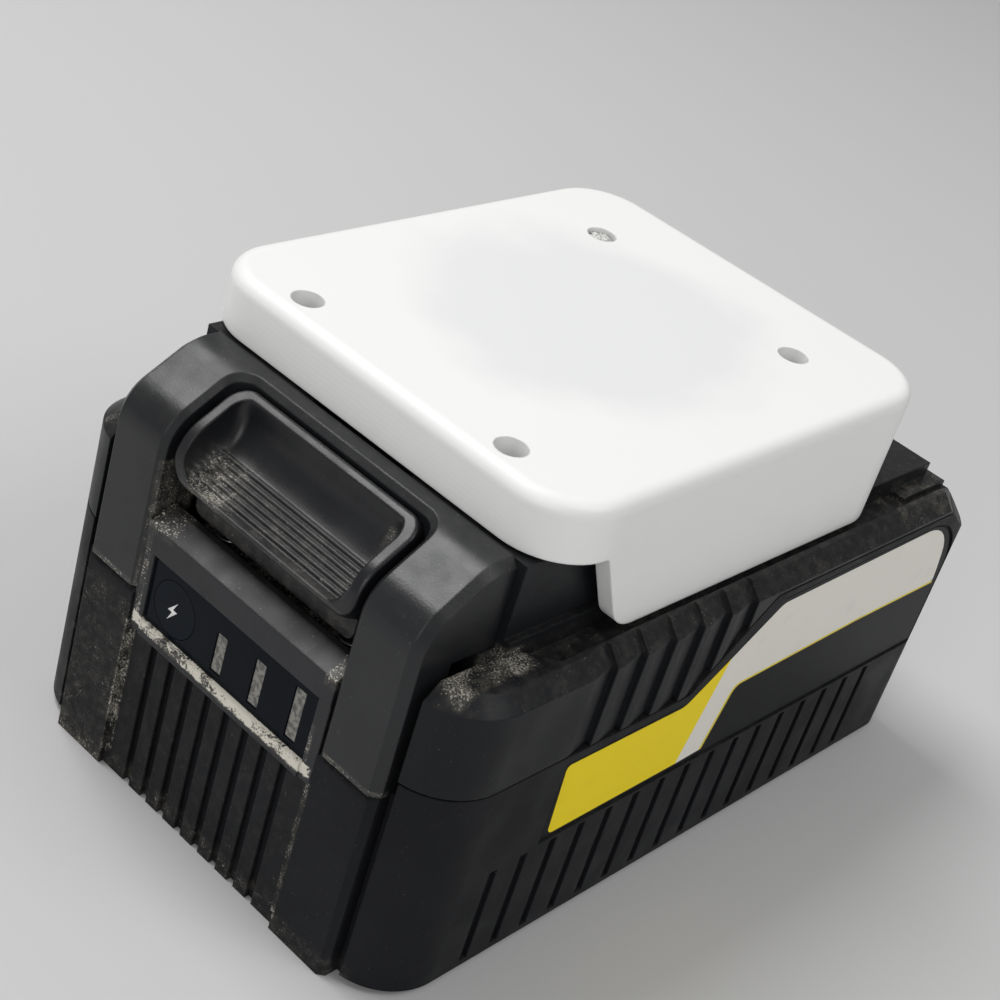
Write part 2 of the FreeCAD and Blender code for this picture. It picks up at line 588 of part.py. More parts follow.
def make_lower_case():
    """The tub that holds the cells, ribbed in front and grooved on its sides."""
    body = new_body("lower_case")
    plan = case_plan("case_half", "side_front", "rear", "front_corner", "rear_corner")
    prism(body, "tub_blank", "XY", "0", "seam_high", [plan])
    dress(body, "tub_foot", "Chamfer", "foot_edge", lambda edge: near(edge.BoundBox.ZMax, "0"))
    rear_top(body, "tub_rear_round")
    block = box_outline("-(leg_foot_width) / 2", "leg_foot_width / 2", "front", "side_front + case_wall")
    prism(body, "front_block", "XY", "0", "frame_foot", [block])
    dress(body, "block_edges", "Chamfer", "block_edge",
          lambda edge: near(edge.CenterOfMass.y, "front") and not near(edge.CenterOfMass.z, "0"))
    above_seam = [
        ("front - 5", "seam_low"),
        ("seam_turn", "seam_low"),
        ("seam_turn + seam_run", "seam_high"),
        ("seam_turn + seam_run", "seam_high + 5"),
        ("front - 5", "seam_high + 5"),
    ]
    prism(body, "seam", "YZ", "-(case_half) - 1", "case_half + 1", [above_seam], cut=True)
    bay = box_outline("-(bay_half)", "bay_half", "front - 1", "inner_front + 1")
    prism(body, "frame_seat", "XY", "frame_foot", "seam_low + 1", [bay], cut=True)
    gauge_seat = box_outline("-(opening_half)", "opening_half", "front - 1", "inner_front + 1")
    prism(body, "gauge_seat", "XY", "gauge_foot", "seam_low + 1", [gauge_seat], cut=True)
    room = case_plan("inner_half", "inner_front", "inner_rear",
                     "front_corner - case_wall", "rear_corner - case_wall")
    prism(body, "cell_room", "XY", "case_wall", "bend_start", [room], cut=True)
    high_room = box_outline("-(inner_half)", "inner_half", "inner_front + 1", "bend_back + rear_wedge")
    prism(body, "cell_room_top", "XY", "bend_start - 1", "seam_high + 1", [high_room], cut=True)
    boss_rooms = [octagon(side, "boss_rear_y", "boss_round / 2 + boss_slack")
                  for side in ("-(boss_across)", "boss_across")]
    prism(body, "boss_rooms", "XY", "bend_start - 1", "seam_high + 1", boss_rooms, cut=True)
    bosses = [octagon(side, along, "boss_round / 2") for side, along in boss_places()]
    prism(body, "bosses", "XY", "case_wall / 2", "boss_top", bosses)
    recesses = [(side, along, "recess_round / 2") for side, along in boss_places()]
    prism(body, "screw_recesses", "XY", "-1", "recess_depth", recesses, cut=True)
    bores = [octagon(side, along, "case_shank / 2 + shank_gap") for side, along in boss_places()]
    prism(body, "screw_bores", "XY", "-1", "boss_top + 1", bores, cut=True)
    crease = both_sides("leg_foot_width / 2", "leg_foot_width / 2 + crease_width",
                        "front - 1", "side_front + crease_depth")
    prism(body, "creases", "XY", "-1", "seam_low + 1", crease, cut=True)
    face = box_outline("-(opening_half)", "opening_half", "front - 1", "rib_face")
    prism(body, "ribbed_face", "XY", "-1", "gauge_foot + 1", [face], cut=True)
    count = pattern_count("opening_width - 2 * rib_pitch", "rib_pitch")
    first = f"-(rib_pitch) * {(count - 1) / 2}"
    groove = box_outline(f"{first} - rib_groove / 2", f"{first} + rib_groove / 2",
                         "front - 1", "rib_face + rib_depth")
    cut = prism(body, "rib_cut", "XY", "-1", "gauge_foot + 1", [groove], cut=True)
    repeat(body, "ribs", cut, "X", "rib_pitch", count)
    side = both_sides("case_half - side_depth", "case_half + 1",
                      "side_front + front_corner + side_pitch - side_groove / 2",
                      "side_front + front_corner + side_pitch + side_groove / 2")
    cut = prism(body, "side_cut", "XY", "foot_edge * 2", "label_foot - label_edge", side, cut=True)
    count = pattern_count("pack_length - front_step - front_corner - rear_corner - 2 * side_pitch",
                          "side_pitch")
    repeat(body, "side_grooves", cut, "Y", "side_pitch", count)
    for name, low, high in (("left", "-(case_half) - 1", "-(case_half) + label_sink"),
                            ("right", "case_half - label_sink", "case_half + 1")):
        prism(body, f"label_panel_{name}", "YZ", low, high, [label_outline("0")], cut=True)
    return body


def octagon(across, up, flat):
    """A regular octagon's corners, from its centre and the distance to its flats."""
    half = f"({flat}) * (sqrt(2) - 1)"
    steps = [(flat, f"-({half})"), (flat, half), (half, flat), (f"-({half})", flat)]
    steps += [(f"-({right})", f"-({high})") for right, high in steps]
    return [(f"{across} + ({right})", f"{up} + ({high})") for right, high in steps]


def label_outline(inset):
    """The panel that carries the label: low in front, and up to the seam behind its slope."""
    top, low = f"seam_high - label_top_gap - {inset}", f"seam_low - label_drop - {inset}"
    back = f"rear - label_inset - {inset}"
    return [
        (f"label_start + {inset}", f"label_foot + {inset}"),
        (back, f"label_foot + {inset}"),
        (back, "seam_high - label_top_gap - label_round", f"label_round - {inset}"),
        ("rear - label_inset - label_round", top),
        (f"seam_turn + seam_run + label_lead + {inset} * label_lean", top),
        (f"seam_turn + {inset} * label_lean", low),
        (f"label_start + {inset}", low),
    ]


def ridge_outline(depth):
    """What is cut off outside the shoulder's bevelled side, down to a depth."""
    return [
        (f"case_half - {depth}", "seam_low - 1"),
        ("case_half + 1", "seam_low - 1"),
        ("case_half + 1", "shoulder_top + 1"),
        (f"case_half - bevel_size - {depth}", "shoulder_top + 1"),
        (f"case_half - bevel_size - {depth}", "shoulder_top"),
        (f"case_half - {depth}", "shoulder_top - bevel_size"),
    ]


def taper(body, name, level, outline, far_level, far_outline):
    """A cut that changes evenly from one outline to another, between two places along Y."""
    sketches = []
    for part, place, points in (("near", level, outline), ("far", far_level, far_outline)):
        sketch = new_sketch(body, f"{name}_{part}", "XZ", f"-({place})")
        draw_outline(sketch, points)
        sketches.append(sketch)
    document.recompute()
    before = body.Shape.Volume
    feature = body.newObject("PartDesign::SubtractiveLoft", name)
    feature.Profile = sketches[0]
    feature.Sections = [sketches[1]]
    feature.Ruled = True
    document.recompute()
    if feature.Shape.Volume > before - 1e-3:
        raise RuntimeError(f"{name} cuts nothing")
    return feature


def make_upper_case():
    """The case's upper half: shoulders with a channel for the skirt, the shelf and the rail."""
    body = new_body("upper_case")
    plan = case_plan("case_half", "side_front", "rear", "front_corner", "rear_corner")
    prism(body, "lid_blank", "XY", "seam_low + seam_gap", "shoulder_top", [plan])
    dress(body, "shoulder_bevel", "Chamfer", "bevel_size",
          lambda edge: near(edge.BoundBox.ZMin, "shoulder_top")
          and edge.CenterOfMass.y < number("rear - rear_corner"))
    below_seam = [
        ("seam_turn - seam_gap", "seam_low - 1"),
        ("rear + 5", "seam_low - 1"),
        ("rear + 5", "seam_high + seam_gap"),
        ("seam_turn + seam_run - seam_gap", "seam_high + seam_gap"),
        ("seam_turn - seam_gap", "seam_low + seam_gap"),
    ]
    prism(body, "lid_seam", "YZ", "-(case_half) - 1", "case_half + 1", [below_seam], cut=True)
    bosses = [octagon(side, "boss_rear_y", "boss_round / 2") for side in ("-(boss_across)", "boss_across")]
    prism(body, "lid_bosses", "XY", "seam_low", "seam_high + 1", bosses)
    rear_top(body, "lid_rear_round")
    shelf = box_outline("-(rail_half)", "rail_half", "bridge_front + bridge_thick", "rear - shelf_back")
    prism(body, "shelf", "XY", "seam_high + seam_gap", "shelf_top", [shelf])
    block = box_outline("-(block_width) / 2", "block_width / 2", "frame_back", "block_back")
    prism(body, "rail_block", "XY", "channel_floor", "flange_top", [block])
    rail = [
        ("-(neck_width) / 2", "shelf_top - 1"),
        ("neck_width / 2", "shelf_top - 1"),
        ("neck_width / 2", "neck_top"),
        ("rail_half", "neck_top"),
        ("rail_half", "flange_top"),
        ("-(rail_half)", "flange_top"),
        ("-(rail_half)", "neck_top"),
        ("-(neck_width) / 2", "neck_top"),
    ]
    prism(body, "rail", "XZ", "block_back - 1", "rail_end", [rail])
    dress(body, "rail_corners", "Chamfer", "rail_corner",
          lambda edge: runs_along(edge, "z") and near(edge.CenterOfMass.y, "rail_end")
          and near(abs(edge.CenterOfMass.x), "rail_half"))
    channel = [
        ("rail_half", "channel_front"),
        ("channel_out", "channel_front + channel_out - rail_half"),
        ("channel_out", "rear + 1"),
        ("rail_half", "rear + 1"),
    ]
    prism(body, "channels", "XY", "channel_floor", "shoulder_top + 1", mirrored(channel), cut=True)
    decks = both_sides("rail_half - case_wall", "channel_out - deck_inset", "deck_start", "rear - deck_back")
    prism(body, "decks", "XY", "channel_floor - 1", "deck_top", decks)
    bay = box_outline("-(bay_half)", "bay_half", "front - 1", "bay_back")
    prism(body, "frame_bay", "XY", "seam_low - 1", "shoulder_top + 1", [bay], cut=True)
    seat = box_outline("-(opening_half) + stop_gap", "opening_half - stop_gap",
                       "leg_back - stop_gap", "bay_back + 1")
    prism(body, "spring_shelf", "XY", "spring_seat - seat_thick", "spring_seat", [seat])
    room = box_outline("inner_wall", "seam_turn + seam_run + 1", "seam_low - 1", "roof_low")
    prism(body, "lid_room", "YZ", "-(inner_half)", "inner_half", [room], cut=True)
    shelf_room = box_outline("-(rail_half) + case_wall", "rail_half - case_wall",
                             "frame_back + case_wall", "rear - shelf_back - case_wall")
    prism(body, "shelf_inside", "XY", "roof_low - 1", "shelf_top - case_wall", [shelf_room], cut=True)
    block_room = box_outline("-(block_width) / 2 + case_wall", "block_width / 2 - case_wall",
                             "frame_back + case_wall", "block_back - case_wall")
    prism(body, "block_inside", "XY", "roof_low", "flange_top - case_wall", [block_room], cut=True)
    rail_room = box_outline("-(neck_width) / 2 + case_wall", "neck_width / 2 - case_wall",
                            "block_back", "rail_end - case_wall")
    prism(body, "rail_inside", "XY", "roof_low", "flange_top - case_wall", [rail_room], cut=True)
    hook_slot = box_outline("-(window_half)", "window_half", "frame_back - 1", "tooth_back + stop_gap")
    slot_floor = "hook_low - button_travel - stop_gap"
    prism(body, "hook_slot", "XY", slot_floor, "flange_top + 1", [hook_slot], cut=True)
    first = "-2 * slot_pitch"
    slot = box_outline(f"{first} - slot_width / 2", f"{first} + slot_width / 2",
                       "rail_end - slot_length", "rail_end + 1")
    cut = prism(body, "slot_cut", "XY", "flange_top - slot_depth", "flange_top + 1", [slot], cut=True)
    repeat(body, "contact_slots", cut, "X", "slot_pitch", 5)
    count = pattern_count("seam_turn + seam_run - ridge_start", "ridge_pitch")
    for index, side in enumerate(("left", "right")):
        deep = mirrored(ridge_outline("ridge_depth"))[1 - index]
        flush = mirrored(ridge_outline("0"))[1 - index]
        cut = taper(body, f"ridge_cut_{side}", "ridge_start", deep, "ridge_start - ridge_run", flush)
        repeat(body, f"ridges_{side}", cut, "Y", "ridge_pitch", count)
    bores = [octagon(side, along, "case_shank / 2 + shank_gap") for side, along in boss_places()]
    prism(body, "lid_bores", "XY", "seam_low - 1", "shank_end + 1", bores, cut=True)
    return body


def make_front_frame():
    """The bent frame round the button: two legs, and a bridge that joins them at the top."""
    body = new_body("front_frame")
    face = [
        ("-(leg_foot_width) / 2", "frame_foot"),
        ("leg_foot_width / 2", "frame_foot"),
        ("leg_top_width / 2", "frame_top"),
        ("-(leg_top_width) / 2", "frame_top"),
    ]
    prism(body, "frame_blank", "XZ", "front", "frame_back", [face])
    over = [
        ("front - 1", "slant_foot - slant"),
        ("front + slant_run + 1", "frame_top + slant"),
        ("front - 1", "frame_top + slant"),
    ]
    prism(body, "frame_slant", "YZ", "-(leg_foot_width)", "leg_foot_width", [over], cut=True)
    dress(body, "frame_front_bend", "Fillet", "frame_bend",
          lambda edge: runs_along(edge, "x") and near(edge.CenterOfMass.y, "front")
          and near(edge.CenterOfMass.z, "slant_foot"))
    dress(body, "frame_top_bend", "Fillet", "frame_crown",
          lambda edge: runs_along(edge, "x") and near(edge.CenterOfMass.y, "front + slant_run")
          and near(edge.CenterOfMass.z, "frame_top"))
    dress(body, "frame_side_bevel", "Chamfer", "frame_bevel",
          lambda edge: abs(edge.CenterOfMass.x) > number("leg_top_width / 2 - 0.5")
          and not near(edge.CenterOfMass.y, "frame_back")
          and not near(edge.CenterOfMass.z, "frame_foot"))
    opening = box_outline("-(opening_half)", "opening_half", "frame_foot - 1", "frame_top + 1")
    prism(body, "frame_opening", "XZ", "front - 1", "bridge_front", [opening], cut=True)
    dress(body, "opening_rounds", "Fillet", "opening_corner",
          lambda edge: runs_along(edge, "z") and near(edge.CenterOfMass.y, "bridge_front"))
    dress(body, "opening_edge", "Chamfer", "opening_bevel",
          lambda edge: near(abs(edge.CenterOfMass.x), "opening_half")
          and edge.CenterOfMass.y < number("leg_back")
          and not near(edge.CenterOfMass.z, "frame_foot"))
    behind = box_outline("leg_back", "frame_back + 1", "frame_foot - 1", "shoulder_top + seam_gap")
    prism(body, "leg_backs", "YZ", "-(leg_foot_width)", "leg_foot_width", [behind], cut=True)
    window = box_outline("-(window_half)", "window_half", "frame_foot", "hook_top + stop_gap")
    prism(body, "hook_window", "XZ", "bridge_front - 1", "frame_back + 1", [window], cut=True)
    return body


GRIPS = 6
GRIP_PROFILE = ((0.3, "grip_height"), (0.7, "grip_height"), (0.95, "0"))


def make_release_button():
    """The button that frees the latch: a rim in the frame's bend, round a ribbed thumb scoop."""
    body = new_body("release_button")
    side = [
        ("button_face", "button_low"),
        ("button_back", "button_low"),
        ("button_back", "button_top"),
        ("button_face", "button_shoulder"),
    ]
    prism(body, "button_blank", "YZ", "-(button_half)", "button_half", [side])
    dress(body, "button_front_bend", "Fillet", "frame_bend - button_sink",
          lambda edge: runs_along(edge, "x") and near(edge.CenterOfMass.y, "button_face")
          and near(edge.CenterOfMass.z, "button_shoulder"))
    dress(body, "button_back_rounds", "Fillet", "button_corner",
          lambda edge: runs_along(edge, "z") and near(edge.CenterOfMass.y, "button_back"))
    dress(body, "button_low_rounds", "Fillet", "button_corner",
          lambda edge: runs_along(edge, "y") and near(edge.CenterOfMass.z, "button_low")
          and near(abs(edge.CenterOfMass.x), "button_half"))
    floor_front = ("button_face + scoop_front", "button_low + scoop_lip")
    floor_back = ("button_back - scoop_back", "button_low + scoop_rise")
    scoop = [
        ("button_back - scoop_rim", "frame_top + 2"),
        ("front - 2", "frame_top + 2"),
        ("front - 2", floor_front[1]),
        floor_front,
    ]
    for grip in range(GRIPS):
        for part, lift in GRIP_PROFILE:
            share = (grip + part) / GRIPS
            along = f"{floor_front[0]} + ({floor_back[0]} - ({floor_front[0]})) * {share:.4f}"
            up = f"{floor_front[1]} + ({floor_back[1]} - ({floor_front[1]})) * {share:.4f} + {lift}"
            scoop.append((along, up))
    scoop.append((*floor_back, "scoop_round"))
    scoop.append(("button_back - scoop_rim", "button_low + scoop_wall"))
    prism(body, "scoop", "YZ", "-(button_half) + button_rim", "button_half - button_rim", [scoop], cut=True)
    return body


def make_latch_hook():
    """The hook behind the button: an arm through the frame's window, and a tooth with a ramp."""
    body = new_body("latch_hook")
    side = [
        ("button_back", "hook_low"),
        ("tooth_back", "hook_low"),
        ("tooth_back", "hook_top"),
        ("tooth_face + tooth_length / 3", "tooth_top"),
        ("tooth_face", "tooth_top"),
        ("tooth_face", "hook_top"),
        ("button_back", "hook_top"),
    ]
    prism(body, "hook_blank", "YZ", "-(hook_half)", "hook_half", [side])
    return body


def make_latch_springs():
    """The two coil springs that push the latch up, each as an eight-sided sleeve of its outer size."""
    body = new_body("latch_springs")
    sleeves = []
    for side in ("-(spring_spread) / 2", "spring_spread / 2"):
        sleeves.append(octagon(side, "spring_middle", "spring_outer / 2"))
        sleeves.append(octagon(side, "spring_middle", "spring_outer / 2 - spring_wire"))
    prism(body, "sleeves", "XY", "spring_seat", "button_low", sleeves)
    return body


def light_places():
    """The middles of the three light bars, across."""
    return ["last_light - 2 * light_pitch", "last_light - light_pitch", "last_light"]


def light_outlines(gap):
    """The three light bars, each with a gap round it."""
    outlines = []
    for shorter, middle in zip((2, 1, 0), light_places()):
        outlines.append(box_outline(
            f"{middle} - light_width / 2 - {gap}", f"{middle} + light_width / 2 + {gap}",
            f"light_foot - {gap}", f"light_foot + light_height - {shorter} * light_step + {gap}"))
    return outlines


def make_gauge_frame():
    """The frame of the charge gauge, with the bar over it that the button stops above."""
    body = new_body("gauge_frame")
    face = box_outline("-(gauge_half)", "gauge_half", "gauge_foot", "gauge_top")
    prism(body, "gauge_blank", "XZ", "gauge_face", "gauge_back", [face])
    bar = box_outline("-(gauge_half)", "gauge_half", "gauge_top - gauge_bar", "gauge_top")
    prism(body, "gauge_top_bar", "XZ", "bar_face", "gauge_back", [bar])
    rail = box_outline("-(glass_half)", "glass_half", "gauge_foot", "glass_low - window_gap")
    prism(body, "gauge_foot_rail", "XZ", "front", "gauge_back", [rail])
    over = [
        ("bar_face - bar_slope_run", "gauge_top - 2 * bar_slope_rise"),
        ("bar_face + 2 * bar_slope_run", "gauge_top + bar_slope_rise"),
        ("bar_face - bar_slope_run", "gauge_top + bar_slope_rise"),
    ]
    prism(body, "bar_slope", "YZ", "-(gauge_half) - 1", "gauge_half + 1", [over], cut=True)
    seat = box_outline("-(glass_half) - window_gap", "glass_half + window_gap",
                       "glass_low - window_gap", "glass_high + window_gap")
    prism(body, "window_room", "XZ", "front - 1", "glass_back", [seat], cut=True)
    through = box_outline("-(glass_half) + window_seat", "glass_half - window_seat",
                          "glass_low + window_seat", "glass_high - window_seat")
    prism(body, "light_way", "XZ", "glass_back - 1", "gauge_back + 1", [through], cut=True)
    return body


def make_gauge_window():
    """The dark window over the lights, with a round hole for the key."""
    body = new_body("gauge_window")
    pane = box_outline("-(glass_half)", "glass_half", "glass_low", "glass_high")
    prism(body, "pane", "XZ", "glass_face", "glass_back", [pane])
    dress(body, "pane_corners", "Fillet", "window_thick",
          lambda edge: runs_along(edge, "y") and near(edge.CenterOfMass.z, "glass_high"))
    prism(body, "light_slots", "XZ", "front - 1", "glass_back + 1", light_outlines("window_gap"), cut=True)
    key_hole = ("key_across", "key_height", "key_round / 2 + window_gap")
    prism(body, "key_hole", "XZ", "front - 1", "glass_back + 1", [key_hole], cut=True)
    return body


def make_gauge_key():
    """The round key that lights the gauge: a flat cap with a plunger behind it."""
    body = new_body("gauge_key")
    prism(body, "key_cap", "XZ", "glass_face", "key_back", [("key_across", "key_height", "key_round / 2")])
    prism(body, "key_plunger", "XZ", "key_back - window_gap", "gauge_back - 2 * key_travel",
          [octagon("key_across", "key_height", "key_round / 4")])
    return body


def make_light_bars():
    """The three bars that carry the lamps' light to the front."""
    body = new_body("light_bars")
    prism(body, "bars", "XZ", "glass_face + light_sink", "gauge_back", light_outlines("0"))
    return body


def make_gauge_board():
    """The board behind the gauge, with the key's switch and a lamp behind each bar."""
    body = new_body("gauge_board")
    board = box_outline("-(gauge_half)", "gauge_half", "glass_low", "glass_high")
    prism(body, "gauge_board_blank", "XZ", "gauge_back", "gauge_back + board_thick", [board])
    prism(body, "key_switch", "XZ", "gauge_back - switch_rise", "gauge_back + board_thick / 2",
          [box_outline("key_across - key_round / 4", "key_across + key_round / 4",
                       "key_height - key_round / 4", "key_height + key_round / 4")])
    return body


COLUMNS = pattern_count("cell_room + holder_web - 2 * holder_rim - cell_pitch", "cell_pitch")
PLACES["tray_half"] = f"{COLUMNS / 2} * cell_pitch - holder_web / 2 + holder_rim"


def column(index):
    """The middle of a column of cells, along. The first one is in front."""
    return f"cell_middle + {index - (COLUMNS - 1) / 2} * cell_pitch"


def cell_places():
    """The cells' middles, as places along and up, in two layers."""
    return [(column(index), level) for index in range(COLUMNS) for level in ("cell_low", "cell_high")]


def make_cells():
    """The round cells, which lie across the case."""
    body = new_body("cells")
    rounds = [(along, up, "cell_round / 2") for along, up in cell_places()]
    prism(body, "cell_cans", "YZ", "-(cell_end)", "cell_end", rounds)
    return body


def make_cell_frame(name, sign):
    """A tray over the cells' ends, with an eight-sided seat for each cell and a rim round the tabs."""
    body = new_body(name)
    inner, outer = ("cell_end - holder_grip", "tray_out")
    ends = (inner, outer) if sign > 0 else (f"-({outer})", f"-({inner})")
    plate = box_outline("cell_middle - tray_half", "cell_middle + tray_half", "tray_foot", "tray_top")
    prism(body, f"{name}_plate", "YZ", ends[0], ends[1], [plate])
    tray = box_outline("cell_middle - tray_half + holder_rim", "cell_middle + tray_half - holder_rim",
                       "tray_foot + holder_rim", "tray_top - holder_rim")
    hollow = ("cell_end", f"{outer} + 1") if sign > 0 else (f"-({outer}) - 1", "-(cell_end)")
    prism(body, f"{name}_tray", "YZ", hollow[0], hollow[1], [tray], cut=True)
    seats = [octagon(column(0), level, "cell_round / 2 + cell_slack") for level in ("cell_low", "cell_high")]
    cut = prism(body, f"{name}_seat_cut", "YZ", f"{ends[0]} - 1", f"{ends[1]} + 1", seats, cut=True)
    repeat(body, f"{name}_seats", cut, "Y", "cell_pitch", COLUMNS)
    return body


def make_cell_tabs(name, sign, single):
    """The nickel tabs on one side: each joins two columns of cells, but one column has its own."""
    body = new_body(name)
    ends = ("cell_end", "cell_end + tab_thick") if sign > 0 else ("-(cell_end) - tab_thick", "-(cell_end)")
    groups = [(first, min(first + 1, COLUMNS - 1)) for first in range(single, COLUMNS, 2)]
    if single:
        groups.insert(0, (0, 0))
    tabs = []
    for first, last in groups:
        tabs.append(box_outline(
            f"{column(first)} - tab_width / 2", f"{column(last)} + tab_width / 2",
            "cell_low - tab_width / 2", "cell_high + tab_width / 2"))
    prism(body, f"{name}_plates", "YZ", ends[0], ends[1], tabs)
    return body


def make_insulator(name, sign):
    """The insulating sheet over the tabs on one side."""
    body = new_body(name)
    inner, outer = ("cell_end + tab_thick", "cell_end + tab_thick + paper_thick")
    ends = (inner, outer) if sign > 0 else (f"-({outer})", f"-({inner})")
    paper = box_outline("cell_middle - tab_room", "cell_middle + tab_room",
                        "tray_foot + 2 * holder_rim", "tray_top - 2 * holder_rim")
    prism(body, f"{name}_sheet", "YZ", ends[0], ends[1], [paper])
    return body


def make_cell_pad():
    """The foam pad that the cells' holders rest on."""
    body = new_body("cell_pad")
    pad = box_outline("-(tray_out)", "tray_out", "cell_middle - tray_half", "cell_middle + tray_half")
    prism(body, "pad_sheet", "XY", "case_wall", "tray_foot", [pad])
    return body


def make_control_board():
    """The control board on top of the cells' holders, with its larger components."""
    body = new_body("control_board")
    front_edge = "cell_middle - tray_half + board_inset"
    board = box_outline("-(board_width) / 2", "board_width / 2", front_edge,
                        "cell_middle + tray_half - board_inset")
    prism(body, "board", "XY", "tray_top", "board_top", [board])
    chips = [box_outline(f"{across} - chip_size / 2", f"{across} + chip_size / 2",
                         f"{front_edge} + chip_inset", f"{front_edge} + chip_inset + chip_size")
             for across in ("-(chip_spread)", "chip_spread")]
    prism(body, "chips", "XY", "board_top - board_thick / 2", "board_top + chip_thick", chips)
    return body


def make_terminal_carrier():
    """The block on the board that holds the contacts under the rail's slots."""
    body = new_body("terminal_carrier")
    plan = box_outline("-(carrier_width) / 2", "carrier_width / 2", "carrier_front", "carrier_back")
    prism(body, "carrier_blank", "XY", "board_top", "carrier_top", [plan])
    first = "-2 * slot_pitch"
    slot = box_outline(f"{first} - slot_half", f"{first} + slot_half",
                       "carrier_front + carrier_wall", "carrier_back + 1")
    cut = prism(body, "carrier_cut", "XY", "board_top + carrier_wall", "carrier_top + 1", [slot], cut=True)
    repeat(body, "carrier_slots", cut, "X", "slot_pitch", 5)
    return body


def make_terminal_contacts():
    """Five pairs of leaf contacts, one pair in each slot."""
    body = new_body("terminal_contacts")
    first = "-2 * slot_pitch"
    ends = ("carrier_front + carrier_wall", "carrier_back - contact_inset")
    pair = [
        box_outline(f"{first} + slot_width / 2", f"{first} + slot_half", *ends),
        box_outline(f"{first} - slot_half", f"{first} - slot_width / 2", *ends),
    ]
    leaves = prism(body, "leaves", "XY", "board_top + carrier_wall", "carrier_top - contact_sink", pair)
    repeat(body, "leaf_pairs", leaves, "X", "slot_pitch", 5)
    return body


def make_case_screws():
    """The four screws that hold the cases together, from below."""
    body = new_body("case_screws")
    heads = [octagon(side, along, "case_head / 2") for side, along in boss_places()]
    prism(body, "screw_heads", "XY", "recess_depth - case_head_thick", "recess_depth", heads)
    shanks = [octagon(side, along, "case_shank / 2") for side, along in boss_places()]
    prism(body, "screw_shanks", "XY", "recess_depth - 0.5", "shank_end", shanks)
    return body


def make_side_label():
    """The label on the battery's right side, stuck in its panel."""
    body = new_body("side_label")
    prism(body, "label_sheet", "YZ", "case_half - label_sink", "case_half - label_sink + label_thick",
          [label_outline("label_edge")])
    return body


BODIES = [
    make_holder_shell(),
    make_lower_case(),
    make_upper_case(),
    make_front_frame(),
    make_release_button(),
    make_latch_hook(),
    make_latch_springs(),
    make_gauge_frame(),
    make_gauge_window(),
    make_gauge_key(),
    make_light_bars(),
    make_gauge_board(),
    make_cells(),
    make_cell_frame("cell_frame_left", -1),
    make_cell_frame("cell_frame_right", 1),
    make_cell_tabs("cell_tabs_left", -1, 0),
    make_cell_tabs("cell_tabs_right", 1, 1),
    make_insulator("insulator_left", -1),
    make_insulator("insulator_right", 1),
    make_cell_pad(),
    make_control_board(),
    make_terminal_carrier(),
    make_terminal_contacts(),
    make_case_screws(),
    make_side_label(),
]

document.recompute()
for item in document.Objects:
    if {"Invalid", "Error"} & set(item.State):
        raise RuntimeError(f"{item.Label} failed: {item.State}")
for body in BODIES:
    if body.Shape.isNull() or not body.Shape.isValid() or not body.Shape.Solids:
        raise RuntimeError(f"{body.Label} has no valid solid")

os.makedirs("parts", exist_ok=True)
for body in BODIES:
    body.Shape.exportStep(f"parts/{body.Label}.step")
    box = body.Shape.BoundBox
    print(f"{body.Label:18s} {len(body.Shape.Solids):2d} solids  x {box.XMin:6.1f} to {box.XMax:6.1f}"
          f"  y {box.YMin:6.1f} to {box.YMax:6.1f}  z {box.ZMin:6.1f} to {box.ZMax:6.1f}")
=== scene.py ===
import json

import bpy
import numpy as np
from mathutils import Matrix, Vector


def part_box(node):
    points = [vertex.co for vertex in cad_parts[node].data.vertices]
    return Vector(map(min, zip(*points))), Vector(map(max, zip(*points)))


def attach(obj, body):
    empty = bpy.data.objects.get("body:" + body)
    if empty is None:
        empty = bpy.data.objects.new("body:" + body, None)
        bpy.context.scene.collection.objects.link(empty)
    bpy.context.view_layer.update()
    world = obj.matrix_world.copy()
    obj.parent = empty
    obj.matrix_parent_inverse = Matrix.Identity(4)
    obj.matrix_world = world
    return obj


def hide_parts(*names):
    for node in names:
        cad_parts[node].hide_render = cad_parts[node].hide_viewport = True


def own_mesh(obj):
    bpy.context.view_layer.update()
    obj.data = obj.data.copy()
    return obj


# %% [markdown]
# This object is a white printed holder for a tool battery, with the battery locked in it. The packed
# CAD model gives every solid its place. This script gives each solid its finish, and adds the pieces
# that are better made as surfaces. Everything is in metres, X across, Y along and Z up.

# %% Load the model and keep its size
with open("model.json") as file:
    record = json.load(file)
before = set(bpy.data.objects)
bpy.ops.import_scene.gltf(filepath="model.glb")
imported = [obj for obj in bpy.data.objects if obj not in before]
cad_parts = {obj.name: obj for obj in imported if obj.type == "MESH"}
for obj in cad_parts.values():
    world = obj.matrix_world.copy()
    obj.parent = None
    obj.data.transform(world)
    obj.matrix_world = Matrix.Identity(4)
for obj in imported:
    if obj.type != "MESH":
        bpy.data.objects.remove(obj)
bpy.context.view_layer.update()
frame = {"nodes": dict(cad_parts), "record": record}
nodes = frame["nodes"]
MM = 0.001

# %% [markdown]
# The camera stands where the photograph was taken from. Its place and its three directions were found
# from the straight edges of the battery, and its focal length is given for a frame 1000 pixels wide.

# %% Camera
CAMERA_AT = (0.1339, -0.2098, 0.1842)
LOOKS_ALONG = (-0.48309, 0.71059, -0.51155)
CAMERA_UP = (-0.52417, 0.23328, 0.81904)
CAMERA_RIGHT = (0.70133, 0.66381, 0.25977)
FOCAL_PIXELS = 1969.35
FRAME_PIXELS = 1000
SENSOR_MM = 36.0


